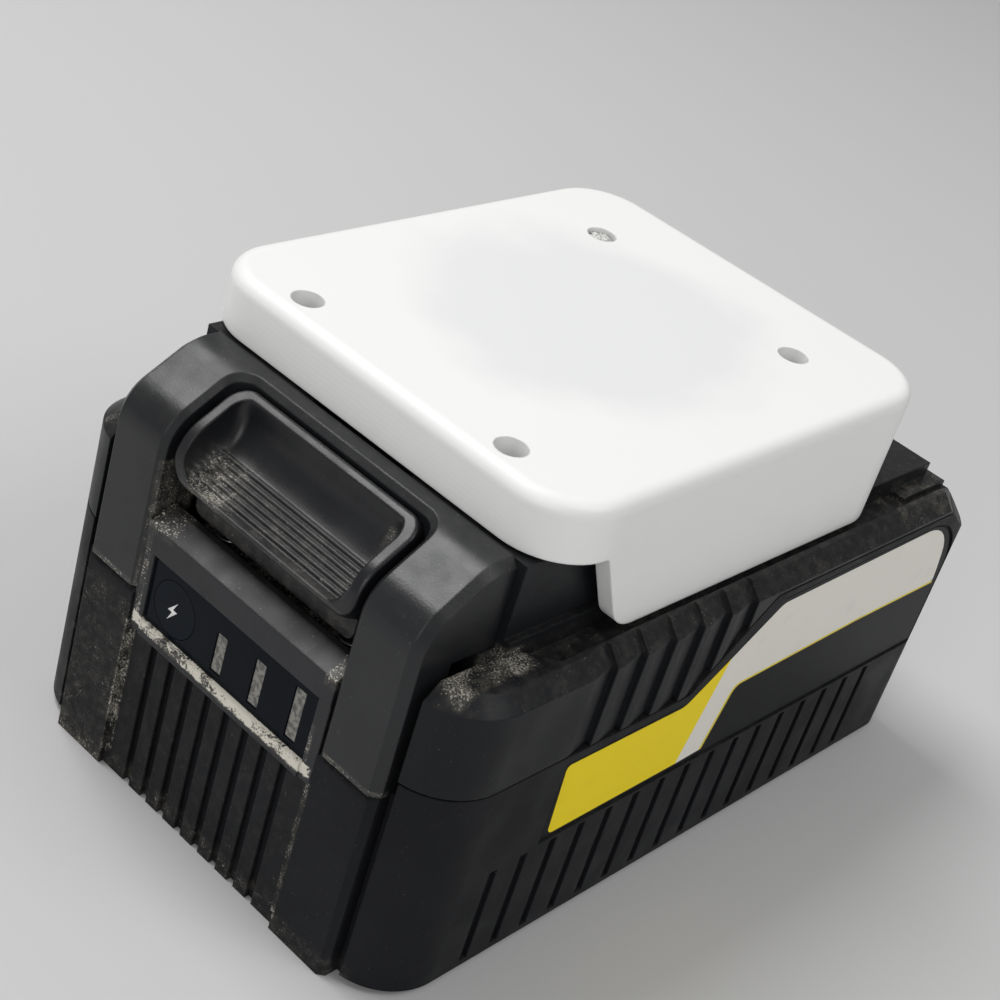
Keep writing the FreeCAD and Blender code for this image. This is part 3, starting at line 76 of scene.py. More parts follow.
def make_camera():
    """Stand the camera, and return its lens in mm. A camera looks down its own -Z, so the third column
    of its matrix is the way it looks, turned round."""
    lens = bpy.data.cameras.new("camera")
    lens.sensor_width = SENSOR_MM
    lens.lens = FOCAL_PIXELS / FRAME_PIXELS * SENSOR_MM
    camera = bpy.data.objects.new("camera", lens)
    bpy.context.scene.collection.objects.link(camera)
    columns = np.array([CAMERA_RIGHT, CAMERA_UP, -np.array(LOOKS_ALONG), CAMERA_AT]).T
    camera.matrix_world = Matrix(np.vstack([columns, [0, 0, 0, 1]]).tolist())
    bpy.context.scene.camera = camera
    return lens.lens


print("lens in mm:", round(make_camera(), 2))

# %% [markdown]
# A mesh comes from whole arrays of points and faces. Two small helpers make every new piece: one puts
# arrays into a mesh, the other joins a grid of points into four-sided faces.

# %% Mesh helpers


def new_piece(name, points, faces, material, smooth=False):
    """An object at the origin, whose place is in its mesh."""
    mesh = bpy.data.meshes.new(name)
    mesh.from_pydata(np.asarray(points, float).tolist(), [], [list(map(int, face)) for face in faces])
    mesh.update()
    mesh.materials.append(material)
    mesh.polygons.foreach_set("use_smooth", np.full(len(mesh.polygons), smooth))
    piece = bpy.data.objects.new(name, mesh)
    bpy.context.scene.collection.objects.link(piece)
    return piece


def grid_faces(rows, columns, close_columns=False):
    """Four-sided faces over a grid of points stored row by row. Closing the columns makes a tube."""
    last = columns if close_columns else columns - 1
    row, column = np.meshgrid(np.arange(rows - 1), np.arange(last), indexing="ij")
    following = (column + 1) % columns
    corners = [row * columns + column, row * columns + following,
               (row + 1) * columns + following, (row + 1) * columns + column]
    return np.stack(corners, axis=-1).reshape(-1, 4)


# %% [markdown]
# Moulded plastic looks like plastic because of small things: a fine grain in the mould, a slow change
# of tone over the part, edges that aren't quite sharp, and dust that lies in the corners. Each of these
# is a texture on object coordinates, so it stays with the part, and the helpers below wire them.

# %% Material helpers
# The mix node has sockets for each kind of value. These are the numbers of the ones for colours.
COLOUR_INPUTS, COLOUR_OUTPUT = (6, 7), 2
BEVEL_SAMPLES = 4


def new_material(name, colour, roughness, metallic=0.0, **constants):
    """A material on Blender's standard shader, with its constant values on the shader's own sockets."""
    material = bpy.data.materials.new(name)
    material.use_nodes = True
    shader = material.node_tree.nodes["Principled BSDF"]
    shader.inputs["Base Color"].default_value = (*colour, 1)
    shader.inputs["Roughness"].default_value = roughness
    shader.inputs["Metallic"].default_value = metallic
    for socket, value in constants.items():
        shader.inputs[socket.replace("_", " ")].default_value = value
    return material, material.node_tree, shader


def node(tree, kind, **settings):
    """A shader node with its settings."""
    made = tree.nodes.new(kind)
    for key, value in settings.items():
        setattr(made, key, value)
    return made


def place(tree):
    """The point on the object, in metres."""
    return node(tree, "ShaderNodeTexCoord").outputs["Object"]


def noise(tree, size, detail=2.0, offset=(0, 0, 0)):
    """Noise with features of a size in metres, from 0 to 1. An offset takes another part of it."""
    mapping = node(tree, "ShaderNodeMapping")
    mapping.inputs["Location"].default_value = offset
    tree.links.new(place(tree), mapping.inputs["Vector"])
    texture = node(tree, "ShaderNodeTexNoise")
    texture.inputs["Scale"].default_value = 1 / size
    texture.inputs["Detail"].default_value = detail
    tree.links.new(mapping.outputs["Vector"], texture.inputs["Vector"])
    return texture.outputs["Fac"]


def ramp(tree, value, start, end, low=0.0, high=1.0):
    """A value taken from start..end to low..high, held at both ends and eased between."""
    mapped = node(tree, "ShaderNodeMapRange", interpolation_type="SMOOTHSTEP")
    for socket, number in zip(("From Min", "From Max", "To Min", "To Max"), (start, end, low, high)):
        mapped.inputs[socket].default_value = number
    tree.links.new(value, mapped.inputs["Value"])
    return mapped.outputs["Result"]


def sums(tree, operation, first, second):
    """Two values put together by an operation of the maths node, each a socket or a number."""
    maths = node(tree, "ShaderNodeMath", operation=operation)
    for socket, value in zip(maths.inputs, (first, second)):
        if isinstance(value, (int, float)):
            socket.default_value = value
        else:
            tree.links.new(value, socket)
    return maths.outputs["Value"]


def mixed(tree, share, first, second):
    """One colour turned to another where the share is 1. Each colour is a socket or three numbers."""
    mix = node(tree, "ShaderNodeMix", data_type="RGBA")
    tree.links.new(share, mix.inputs["Factor"])
    for number, colour in zip(COLOUR_INPUTS, (first, second)):
        if isinstance(colour, tuple):
            mix.inputs[number].default_value = (*colour, 1)
        else:
            tree.links.new(colour, mix.inputs[number])
    return mix.outputs[COLOUR_OUTPUT]


def paint(tree, shader, share, first, second):
    """The shader's colour: the first, turned to the second where the share is 1."""
    tree.links.new(mixed(tree, share, first, second), shader.inputs["Base Color"])


def shade(colour, factor):
    """A colour made lighter or darker by a factor."""
    return tuple(factor * part for part in colour)


def part_of(tree, source, axis):
    """One coordinate of a point or a direction."""
    split = node(tree, "ShaderNodeSeparateXYZ")
    tree.links.new(source, split.inputs["Vector"])
    return split.outputs[axis]


def facing_up(tree, start=0.25, end=0.9):
    """How much a surface faces up, which is where dust settles."""
    return ramp(tree, part_of(tree, node(tree, "ShaderNodeNewGeometry").outputs["Normal"], "Z"), start, end)


def zone(tree, low, high, soft=1.0):
    """1 inside a box given by two corners in millimetres, falling to 0 over a soft rim round it."""
    share = 1.0
    for axis, start, end in zip("XYZ", low, high):
        along = part_of(tree, place(tree), axis)
        rise = ramp(tree, along, (start - soft) * MM, start * MM)
        fall = ramp(tree, along, end * MM, (end + soft) * MM, 1.0, 0.0)
        share = sums(tree, "MULTIPLY", share, sums(tree, "MULTIPLY", rise, fall))
    return share


def bumps(tree, shader, layers, edge=0.0):
    """Bumps laid over each other, on edges rounded by a radius. Each layer is a height and its depth."""
    normal = None
    if edge:
        rounding = node(tree, "ShaderNodeBevel", samples=BEVEL_SAMPLES)
        rounding.inputs["Radius"].default_value = edge
        normal = rounding.outputs["Normal"]
    for height, depth in layers:
        bump = node(tree, "ShaderNodeBump")
        bump.inputs["Distance"].default_value = depth
        tree.links.new(height, bump.inputs["Height"])
        if normal is not None:
            tree.links.new(normal, bump.inputs["Normal"])
        normal = bump.outputs["Normal"]
    tree.links.new(normal, shader.inputs["Normal"])


# %% [markdown]
# The black parts differ in sheen and in where they are dusty. Dust is grains: fine noise that passes a
# level. Where an amount is added to the noise more grains pass, so the amount says how dusty a place is.
# Each part's dusty places are boxes in millimetres: the lowest corner, the highest corner, the width of
# the soft rim and the amount. PATCHES, CLOUDS and GRAINS are ranges for ramp: noise from the first value
# to the second becomes a share from the third to the fourth.

# %% Black plastic
DUST = (0.42, 0.40, 0.35)
CRUST = (0.78, 0.74, 0.64)
FILM = (0.13, 0.12, 0.10)
PATCH_SIZE, PATCHES = 0.0028, (0.32, 0.66, 0.35, 1.0)
CLOUD_SIZE, CLOUDS = 0.0013, (0.35, 0.70, 0.1, 0.75)
GRAIN_SIZE, GRAINS = 0.00028, (0.70, 0.95, 0.0, 0.85)
GRAIN_GAIN = 0.26
TONE_SIZE, TONE_GAIN = 0.025, 1.3
SHEEN_SIZE, SMOOTHER, ROUGHER = 0.006, 0.05, 0.07
MOULD_BUMPS = ((0.0003, 0.000015), (0.012, 0.00004))
EDGE_ROUND = 0.00035


def dusty(tree, base, zones, film, grain_colour=DUST):
    """A base colour under a brownish film and grains of dust, sparse in general and thick in the zones."""
    patchy = ramp(tree, noise(tree, PATCH_SIZE, 4.0, offset=(5, 2, 7)), *PATCHES)
    amount = sums(tree, "MULTIPLY", facing_up(tree), film)
    for low, high, soft, share in zones:
        amount = sums(tree, "ADD", amount, sums(tree, "MULTIPLY", zone(tree, low, high, soft), share))
    amount = sums(tree, "MULTIPLY", amount, patchy)
    cloud = ramp(tree, noise(tree, CLOUD_SIZE, 4.0, offset=(9, 4, 1)), *CLOUDS)
    veil = sums(tree, "MULTIPLY", sums(tree, "MINIMUM", amount, 1.0), cloud)
    base = mixed(tree, veil, base, FILM)
    gain = sums(tree, "MULTIPLY", amount, GRAIN_GAIN)
    level = sums(tree, "ADD", noise(tree, GRAIN_SIZE, 2.0, offset=(3, 1, 2)), gain)
    return mixed(tree, ramp(tree, level, *GRAINS), base, grain_colour)


def black_plastic(name, colour, roughness, zones=(), film=0.10, specular=0.35, grain_colour=DUST):
    """Moulded black plastic: a mould grain, a slow change of tone, soft edges, and dust in its zones."""
    material, tree, shader = new_material(name, colour, roughness, Specular_IOR_Level=specular)
    tone = ramp(tree, noise(tree, TONE_SIZE), 0.35, 0.7)
    base = mixed(tree, tone, colour, shade(colour, TONE_GAIN))
    tree.links.new(dusty(tree, base, zones, film, grain_colour), shader.inputs["Base Color"])
    sheen = noise(tree, SHEEN_SIZE, 3.0)
    rough = ramp(tree, sheen, 0.3, 0.7, roughness - SMOOTHER, roughness + ROUGHER)
    tree.links.new(rough, shader.inputs["Roughness"])
    bumps(tree, shader, [(noise(tree, size), depth) for size, depth in MOULD_BUMPS], EDGE_ROUND)
    return material


CASE_DUST = [
    ((-18.4, -62, 2), (-17.4, -58.5, 25), 0.4, 0.85),
    ((17.4, -62, 2), (18.4, -58.5, 25), 0.4, 0.85),
    ((-30, -62, -1), (-19, -57, 27), 2.0, 0.40),
    ((-17, -62, 2), (17, -60.2, 24), 1.0, 0.12),
    ((-30, -62, -1), (30, -57, 2), 2.0, 0.45),
]
LID_DUST = [
    ((29.0, -57, 46.8), (33.2, -44, 49), 1.0, 1.05),
    ((-33.2, -57, 46.8), (-29.0, -44, 49), 1.0, 0.7),
    ((30.5, -44, 46.5), (38, 60, 49), 1.0, 0.16),
    ((-38, -44, 46.5), (-30.5, 60, 49), 1.0, 0.16),
    ((31.0, 38, 46.0), (37, 58, 49), 1.5, 0.22),
    ((-37, 38, 46.0), (-31.0, 58, 49), 1.5, 0.22),
    ((-18, -62, 30), (18, -48, 47), 1.0, 1.25),
]
FRAME_DUST = [
    ((17.6, -62, 30), (18.7, -48, 50), 0.4, 0.60),
    ((-18.7, -62, 30), (-17.6, -48, 50), 0.4, 0.80),
    ((-30, -62, 29.5), (30, -59, 30.9), 0.4, 0.80),
]
GAUGE_DUST = [
    ((-17.6, -62, 25.6), (17.6, -60.4, 26.7), 0.5, 1.9),
    ((-4, -62, 25.3), (17.6, -60.4, 26.7), 0.5, 0.6),
    ((16.0, -62, 26), (16.6, -56, 33), 0.3, 0.95),
    ((-17.7, -62, 26), (-17.0, -56, 40), 0.3, 1.0),
    ((-18.4, -61, 41), (-14, -55, 43.2), 1.5, 0.65),
    ((16.6, -61, 40), (18.4, -55, 43.2), 0.6, 0.9),
]
BUTTON_DUST = [
    ((-13.4, -59.0, 49.9), (-9.0, -55.4, 52.4), 2.5, 0.80),
    ((-13.4, -59.0, 49.9), (12.5, -55.8, 51.8), 1.5, 0.45),
    ((12.8, -56, 53.0), (15.0, -51.6, 57.5), 0.8, 0.8),
    ((-17, -61, 48), (17, -59.6, 49.4), 0.4, 0.35),
    ((-17, -57.5, 42), (17, -55, 45.0), 1.5, 0.45),
]

# %% [markdown]
# The holder is printed in white plastic. Its top was the first layer on the bed, so it is smooth with
# faint lines at a slant, and its sides show the layers as fine level lines. The middle of the top is
# painted a little greyer than the rim, as a painted reflection of something dark in the glossy print.

# %% Printed white
# The second colour is the grey of a painted reflection in the middle of the top; the next three numbers
# place and shape it.
WHITE, REFLECTION_GREY, GRIME = (0.83, 0.835, 0.82), (0.745, 0.75, 0.748), (0.55, 0.54, 0.52)
REFLECTION_AT = -4 * MM
REFLECTION_RIM = (0.034, 0.046)
REFLECTION_UNEVEN = 0.03
TOP_FROM = (0.069, 0.0695)
GRIME_SIZE, GRIME_SHARE = 0.0014, 0.18
LAYER_SCALE, LAYER_DISTORTION, LAYER_DEPTH = 420, 0.4, 0.000004
STROKE_SCALE, STROKE_ANGLE, STROKE_DEPTH = 330, 45, 0.000002
WARP_SIZE, WARP_DEPTH = 0.015, 0.00006


def waves(tree, vector, direction, scale):
    """Even waves along an axis of a vector."""
    made = node(tree, "ShaderNodeTexWave", wave_type="BANDS", bands_direction=direction)
    made.inputs["Scale"].default_value = scale
    tree.links.new(vector, made.inputs["Vector"])
    return made


def printed_white():
    """White print: level layer lines on the sides, slanted lines on the top, and a painted reflection that
    greys the middle of the top.
    """
    material, tree, shader = new_material("printed_white", WHITE, 0.40, Specular_IOR_Level=0.4)
    across, along, up = (part_of(tree, place(tree), axis) for axis in "XYZ")
    along = sums(tree, "ADD", along, -REFLECTION_AT)
    squares = sums(tree, "ADD", sums(tree, "MULTIPLY", across, across), sums(tree, "MULTIPLY", along, along))
    uneven = sums(tree, "MULTIPLY", noise(tree, 0.03, 4.0), REFLECTION_UNEVEN)
    reach = sums(tree, "ADD", sums(tree, "SQRT", squares, 0.0), uneven)
    # The share of the painted reflection: a grey patch in the middle of the top, with an uneven rim.
    middle = sums(tree, "MULTIPLY", ramp(tree, reach, *REFLECTION_RIM, 1.0, 0.0), ramp(tree, up, *TOP_FROM))
    base = mixed(tree, middle, WHITE, REFLECTION_GREY)
    grime = ramp(tree, noise(tree, GRIME_SIZE), 0.74, 0.80)
    paint(tree, shader, sums(tree, "MULTIPLY", grime, GRIME_SHARE), base, GRIME)
    layers = waves(tree, place(tree), "Z", LAYER_SCALE)
    layers.inputs["Distortion"].default_value = LAYER_DISTORTION
    turned = node(tree, "ShaderNodeMapping")
    turned.inputs["Rotation"].default_value = (0, 0, np.radians(STROKE_ANGLE))
    tree.links.new(place(tree), turned.inputs["Vector"])
    strokes = waves(tree, turned.outputs["Vector"], "X", STROKE_SCALE)
    top = facing_up(tree, 0.8, 0.98)
    side = sums(tree, "SUBTRACT", 1.0, top)
    level = sums(tree, "MULTIPLY", layers.outputs["Fac"], side)
    slanted = sums(tree, "MULTIPLY", strokes.outputs["Fac"], top)
    warp = noise(tree, WARP_SIZE)
    bumps(tree, shader, [(level, LAYER_DEPTH), (slanted, STROKE_DEPTH), (warp, WARP_DEPTH)], EDGE_ROUND)
    return material


# %% [markdown]
# Each node of the CAD model takes the finish that the record names for it. What is mostly inside gets a
# plain finish. The light bars are frosted and dirty, and the window, the key and the film are glossy.

# %% Materials for every CAD node
GLOSS = {"Specular_IOR_Level": 0.07}


def plain(name, colour, roughness, metallic=0.0, size=0.002, **constants):
    """A finish for what is mostly inside: a tone that varies slowly, and a fine bump."""
    material, tree, shader = new_material(name, colour, roughness, metallic, **constants)
    tone = ramp(tree, noise(tree, size * 4, 3.0), 0.35, 0.65)
    paint(tree, shader, tone, colour, shade(colour, 0.82))
    bumps(tree, shader, [(noise(tree, size, 3.0), size * 0.01)])
    return material


def lit_bar():
    """The frosted light bars: grey, and mottled with dirt."""
    material, tree, shader = new_material("light_grey", (0.30, 0.29, 0.26), 0.55)
    dirt = ramp(tree, noise(tree, 0.0007, 4.0), 0.42, 0.60)
    paint(tree, shader, dirt, (0.25, 0.24, 0.215), (0.09, 0.09, 0.085))
    bumps(tree, shader, [(noise(tree, 0.0006, 3.0), 0.00001)])
    return material


materials = {
    "printed_white": printed_white(),
    "case_black": black_plastic("case_black", (0.0085, 0.009, 0.0105), 0.46, CASE_DUST, 0.15, 0.11),
    "lid_black": black_plastic("lid_black", (0.0088, 0.0095, 0.011), 0.38, LID_DUST, 0.16, 0.16),
    "frame_black": black_plastic("frame_black", (0.0095, 0.0102, 0.0115), 0.35, FRAME_DUST, 0.12, 0.42),
    "button_black": black_plastic("button_black", (0.0065, 0.007, 0.0085), 0.36, BUTTON_DUST, 0.05, 0.42),
    "hook_black": black_plastic("hook_black", (0.012, 0.012, 0.013), 0.45),
    "spring_steel": plain("spring_steel", (0.42, 0.42, 0.43), 0.3, 1.0),
    "gauge_black": black_plastic("gauge_black", (0.0095, 0.010, 0.012), 0.42, GAUGE_DUST, 0.15, 0.40, CRUST),
    "window_dark": plain("window_dark", (0.0035, 0.0055, 0.009), 0.20, **GLOSS),
    "key_dark": plain("key_dark", (0.0045, 0.007, 0.0115), 0.24, **GLOSS),
    "light_grey": lit_bar(),
    "board_green": plain("board_green", (0.02, 0.12, 0.06), 0.35),
    "cell_sleeve": plain("cell_sleeve", (0.06, 0.20, 0.36), 0.35),
    "tray_black": plain("tray_black", (0.03, 0.03, 0.03), 0.5),
    "nickel": plain("nickel", (0.62, 0.60, 0.56), 0.25, 1.0),
    "paper": plain("paper", (0.62, 0.58, 0.46), 0.8),
    "foam": plain("foam", (0.06, 0.06, 0.06), 0.95, size=0.0006),
    "carrier_black": plain("carrier_black", (0.03, 0.03, 0.032), 0.5),
    "contact_metal": plain("contact_metal", (0.70, 0.52, 0.28), 0.25, 1.0),
    "screw_steel": plain("screw_steel", (0.10, 0.10, 0.105), 0.35, 1.0),
    "label_film": plain("label_film", (0.004, 0.0048, 0.006), 0.35, **GLOSS),
}
for part in frame["record"]["subparts"]:
    slots = nodes[part["node"]].data.materials
    if not len(slots):
        slots.append(None)
    for index in range(len(slots)):
        slots[index] = materials[part["material_slot"]]
print(len(materials), "finishes on", len(nodes), "nodes")

# %% [markdown]
# A plain pale floor, a large soft lamp overhead and two weaker ones. The world fills the shadows, and
# shows as a pale backdrop to the camera only.

# %% Floor, lamps and world
FLOOR_REACH, FLOOR_DROP = 3.0, 0.00005
LAMP_TARGET = (0, 0, 0.03)
LAMPS = [
    ("key_lamp", (-0.42, -0.10, 0.80), 0.45, 5.2),
    ("front_lamp", (0.35, -0.9, 0.45), 0.6, 2.7),
    ("side_lamp", (0.62, 0.16, 0.80), 0.45, 2.2),
]
WORLD_STRENGTH, BACKDROP = 0.335, 0.62


def make_floor():
    """A flat floor just under the battery's foot."""
    signs = ((-1, -1), (1, -1), (1, 1), (-1, 1))
    corners = [(x * FLOOR_REACH, y * FLOOR_REACH, -FLOOR_DROP) for x, y in signs]
    material = new_material("floor_grey", (0.55, 0.55, 0.55), 0.8)[0]
    floor = new_piece("floor", corners, [(0, 1, 2, 3)], material)


def make_lamp(name, at, size, power):
    """A square area lamp that looks at the battery's middle, with its size in metres and power in W."""
    light = bpy.data.lights.new(name, "AREA")
    light.size = size
    light.energy = power
    lamp = bpy.data.objects.new(name, light)
    bpy.context.scene.collection.objects.link(lamp)
    away = np.array(at, float) - np.array(LAMP_TARGET)
    away /= np.linalg.norm(away)
    side = np.cross((0, 1, 0) if abs(away[1]) < 0.9 else (1, 0, 0), away)
    side /= np.linalg.norm(side)
    columns = np.array([side, np.cross(away, side), away, at]).T
    lamp.matrix_world = Matrix(np.vstack([columns, [0, 0, 0, 1]]).tolist())


def make_world(strength, backdrop):
    """An even grey light, and a paler even grey where the camera sees the world itself."""
    world = bpy.data.worlds.new("studio")
    world.use_nodes = True
    tree = world.node_tree
    tree.nodes.clear()
    rays = node(tree, "ShaderNodeLightPath")
    lit = node(tree, "ShaderNodeBackground")
    lit.inputs["Color"].default_value = (1, 1, 1, 1)
    lit.inputs["Strength"].default_value = strength
    seen = node(tree, "ShaderNodeBackground")
    seen.inputs["Color"].default_value = (backdrop, backdrop, backdrop, 1)
    mix = node(tree, "ShaderNodeMixShader")
    tree.links.new(rays.outputs["Is Camera Ray"], mix.inputs[0])
    tree.links.new(lit.outputs[0], mix.inputs[1])
    tree.links.new(seen.outputs[0], mix.inputs[2])
    tree.links.new(mix.outputs[0], node(tree, "ShaderNodeOutputWorld").inputs["Surface"])
    bpy.context.scene.world = world


make_floor()
for lamp_settings in LAMPS:
    make_lamp(*lamp_settings)
make_world(WORLD_STRENGTH, BACKDROP)
bpy.context.scene.view_settings.view_transform = "Standard"
print("a floor and", len(LAMPS), "lamps")

# %% [markdown]
# Several outlines below have round corners. One helper works them out as arcs: the arc of a corner
# touches both of its sides at radius / tan(half the corner's angle) from the corner.

# %% Rounded outlines


def rounded(corners, steps=8, closed=True):
    """An outline in millimetres. A corner with a third value is rounded by that radius, in steps. The
    two ends of an open outline are left sharp."""
    outline = []
    for index, corner in enumerate(corners):
        here = np.array(corner[:2], float)
        if len(corner) == 2 or (not closed and index in (0, len(corners) - 1)):
            outline.append(here)
            continue
        before = np.array(corners[index - 1][:2], float) - here
        after = np.array(corners[(index + 1) % len(corners)][:2], float) - here
        before /= np.linalg.norm(before)
        after /= np.linalg.norm(after)
        half = np.arccos(np.clip(before @ after, -1, 1)) / 2
        reach = corner[2] / np.tan(half)
        start, end = here + before * reach, here + after * reach
        middle = here + (before + after) / np.linalg.norm(before + after) * corner[2] / np.sin(half)
        first, last = start - middle, end - middle
        turn = np.arctan2(first[0] * last[1] - first[1] * last[0], first @ last)
        angles = np.linspace(0, turn, steps)
        cosine, sine = np.cos(angles), np.sin(angles)
        outline.extend(np.stack([middle[0] + cosine * first[0] - sine * first[1],
                                 middle[1] + sine * first[0] + cosine * first[1]], axis=1))
    return np.array(outline)


def sheet_points(outline, axis, low, thick):
    """Points and faces of a thin plate: an outline at two levels along an axis, two caps and a rim."""
    count = len(outline)
    flat = np.insert(outline, axis, low, axis=1)
    raised = np.insert(outline, axis, low + thick, axis=1)
    rim = grid_faces(2, count, close_columns=True)
    faces = [list(range(count))[::-1], list(range(count, 2 * count))] + rim.tolist()
    return np.concatenate([flat, raised]), faces


# %% [markdown]
# The side label is a printed film. Its panels are thin sheets on the film: a yellow one, an off-white
# one, and a thin yellow line between the off-white and the black. They are drawn in the plane of the
# case's side, along and up.

# %% Label sheets
LABEL_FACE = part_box("side_label")[1][0]
SHEET_THICK = 0.00003


def side_sheet(name, corners, material):
    """A thin sheet on the label's face."""
    points, faces = sheet_points(rounded(corners) * MM, 0, LABEL_FACE, SHEET_THICK)
    piece = new_piece(name, points, faces, material)
    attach(piece, "pack")


def label_ink(name, colour):
    """Printed ink under a clear film, slightly scuffed."""
    material, tree, shader = new_material(name, colour, 0.45, Specular_IOR_Level=0.15)
    scuff = ramp(tree, noise(tree, 0.004, 5.0), 0.55, 0.8)
    paint(tree, shader, sums(tree, "MULTIPLY", scuff, 0.25), colour, shade(colour, 0.75))
    return material


YELLOW = [(-35.0, 31.4, 0.8), (-34.0, 19.2, 1.2), (-6.4, 19.4), (-2.2, 36.6), (-10.0, 31.2, 3.0)]
OFF_WHITE = [(-6.4, 19.4), (-1.0, 19.6), (1.9, 30.5, 2.0), (33.4, 31.2), (56.0, 31.0, 0.6), (55.4, 34.0),
             (53.0, 43.6, 9.0), (7.0, 43.1, 3.0), (-2.2, 36.6)]
THIN_LINE = [(-1.0, 19.6), (-0.4, 19.6), (2.4, 30.1, 1.8), (33.4, 30.8), (56.0, 30.6), (56.0, 31.0),
             (33.4, 31.2), (1.9, 30.5, 2.0)]
SHEETS = {
    "label_yellow": (YELLOW, (0.93, 0.72, 0.01)),
    "label_white": (OFF_WHITE, (0.80, 0.775, 0.71)),
    "label_line": (THIN_LINE, (0.80, 0.64, 0.06)),
}
for sheet, (sheet_corners, ink) in SHEETS.items():
    side_sheet(sheet, sheet_corners, label_ink(sheet + "_ink", ink))
print("label sheets stand at x =", round(LABEL_FACE / MM, 2), "mm")

# %% [markdown]
# The release button is one smooth moulding: a rim that follows the frame's bend, round a deep thumb
# scoop with six fine ribs in front and a hollow back wall. It is a surface of height over a plane. The
# plane stands on the line from the button's low front edge to its high back edge. The distance t along
# that line and the place x across give a point, and the height h is measured square to the line. The
# rim's height comes from the outer profile and the scoop's from its own. SLANT is the rise of the rim's
# upper part over its run, and FLOOR_SLOPE is the same for the scoop's floor. Sizes are in millimetres.

# %% Button profile
BUTTON_LOW, BUTTON_HIGH = np.array(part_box("release_button")) / MM
BUTTON_HALF = BUTTON_HIGH[0]
FACE, BACK, FOOT, TOP = BUTTON_LOW[1], BUTTON_HIGH[1], BUTTON_LOW[2], BUTTON_HIGH[2]
SLANT = 6.3 / 10.3
BEND_ROUND = 6.2
SCOOP_FLOOR, SCOOP_FRONT, SCOOP_BACK = 1.3, 1.6, 1.6
FLOOR_SLOPE = 3.3 / 4.2
SCOOP_EDGE, SCOOP_ROUND = 0.5, 6.0
PAST_FRONT, PAST_TOP = 2, 3
RIBS, RIB_HEIGHT, RIB_RUN = 6, 0.34, (2.1, 7.3)
SCOOP_HALF = 15.4
SCOOP_CORNER = 3.2
END_WALL = 2.0
OUTER_CORNER = 3.0
RIM_EDGE = 0.5
LOW_CUT, HIGH_CUT = 0.05, 0.6
SCOOP_START, SCOOP_STOP = 1.0, 0.6
LEAST_RIM, LEAST_THICK = 0.3, 0.05
EDGE_ROWS, FACE_ROWS, TOP_ROWS, TOP_RUN = 10, 150, 26, 3
INNER_COLUMNS, RIM_COLUMNS = 96, 14

start_point = np.array([FACE, FOOT])
line = np.array([BACK, TOP]) - start_point
LINE_LENGTH = np.linalg.norm(line)
ALONG = line / LINE_LENGTH
SQUARE = np.array([-ALONG[1], ALONG[0]])


def profile(corners, steps=14):
    """A path in Y and Z as distance along the button's line and height over it, in rising order."""
    path = rounded(corners, steps, closed=False) - start_point
    return path @ ALONG, path @ SQUARE


outer_t, outer_h = profile([(FACE, FOOT), (FACE, TOP - SLANT * (BACK - FACE), BEND_ROUND), (BACK, TOP)])
floor_z = FOOT + SCOOP_FLOOR
front_y, back_y = FACE + SCOOP_FRONT, BACK - SCOOP_BACK
bend_z = floor_z + (back_y - front_y) * FLOOR_SLOPE
scoop_t, scoop_h = profile([(FACE - PAST_FRONT, floor_z), (front_y, floor_z, SCOOP_EDGE),
                            (back_y, bend_z, SCOOP_ROUND), (back_y, TOP + PAST_TOP)])
back_t, back_h = profile([(FACE, FOOT), (BACK, FOOT), (BACK, TOP)])
print("button line in mm:", round(LINE_LENGTH, 2))

# %% [markdown]
# The face is a grid that is finer at its edges. A quarter of an ellipse joins the rim to the scoop at
# the scoop's ends: wall(e) = sqrt(1 - (1 - e / w)^2), with e the distance in from the rim and w the
# width of the wall. The ribs are a raised cosine along the floor. The back lies on the CAD button's
# back, and a rim of faces closes the two.

# %% Button surface


def corner_inset(distance, radius):
    """How far a rounded corner stands in, at a distance from its end: r - sqrt(r^2 - (r - d)^2)."""
    short = np.clip(radius - distance, 0, radius)
    return radius - np.sqrt(radius ** 2 - short ** 2)


def button_grid():
    """The face's grid: each row at a distance t along the line, each column from the left rim over the
    scoop to the right rim. Also the half widths of scoop and face, and the distance to the ends."""
    low, high = RIM_EDGE - LOW_CUT, LINE_LENGTH - HIGH_CUT
    edge = RIM_EDGE * 2
    quarter = np.pi / 2
    rows = np.concatenate([low + edge * (1 - np.cos(np.linspace(0, quarter, EDGE_ROWS)))[:-1],
                           np.linspace(low + edge, high - TOP_RUN, FACE_ROWS)[:-1],
                           high - TOP_RUN + TOP_RUN * np.sin(np.linspace(0, quarter, TOP_ROWS))])
    inner = np.sin(np.linspace(-quarter, quarter, INNER_COLUMNS))
    rim = np.sin(np.linspace(0, quarter, RIM_COLUMNS))[1:]
    ends = np.minimum(rows - low, high - rows)
    open_ends = np.maximum(np.minimum(rows - SCOOP_START, high - SCOOP_STOP - rows), 0)
    open_half = SCOOP_HALF - corner_inset(open_ends, SCOOP_CORNER)
    outer_half = BUTTON_HALF - corner_inset(ends, OUTER_CORNER)
    open_half = np.minimum(open_half, outer_half - LEAST_RIM)[:, None]
    outer_half = outer_half[:, None]
    right = open_half + (outer_half - open_half) * rim
    across = np.concatenate([-right[:, ::-1], open_half * inner, right], axis=1)
    along = np.broadcast_to(rows[:, None], across.shape)
    return across, along, open_half, outer_half, np.broadcast_to(ends[:, None], across.shape)


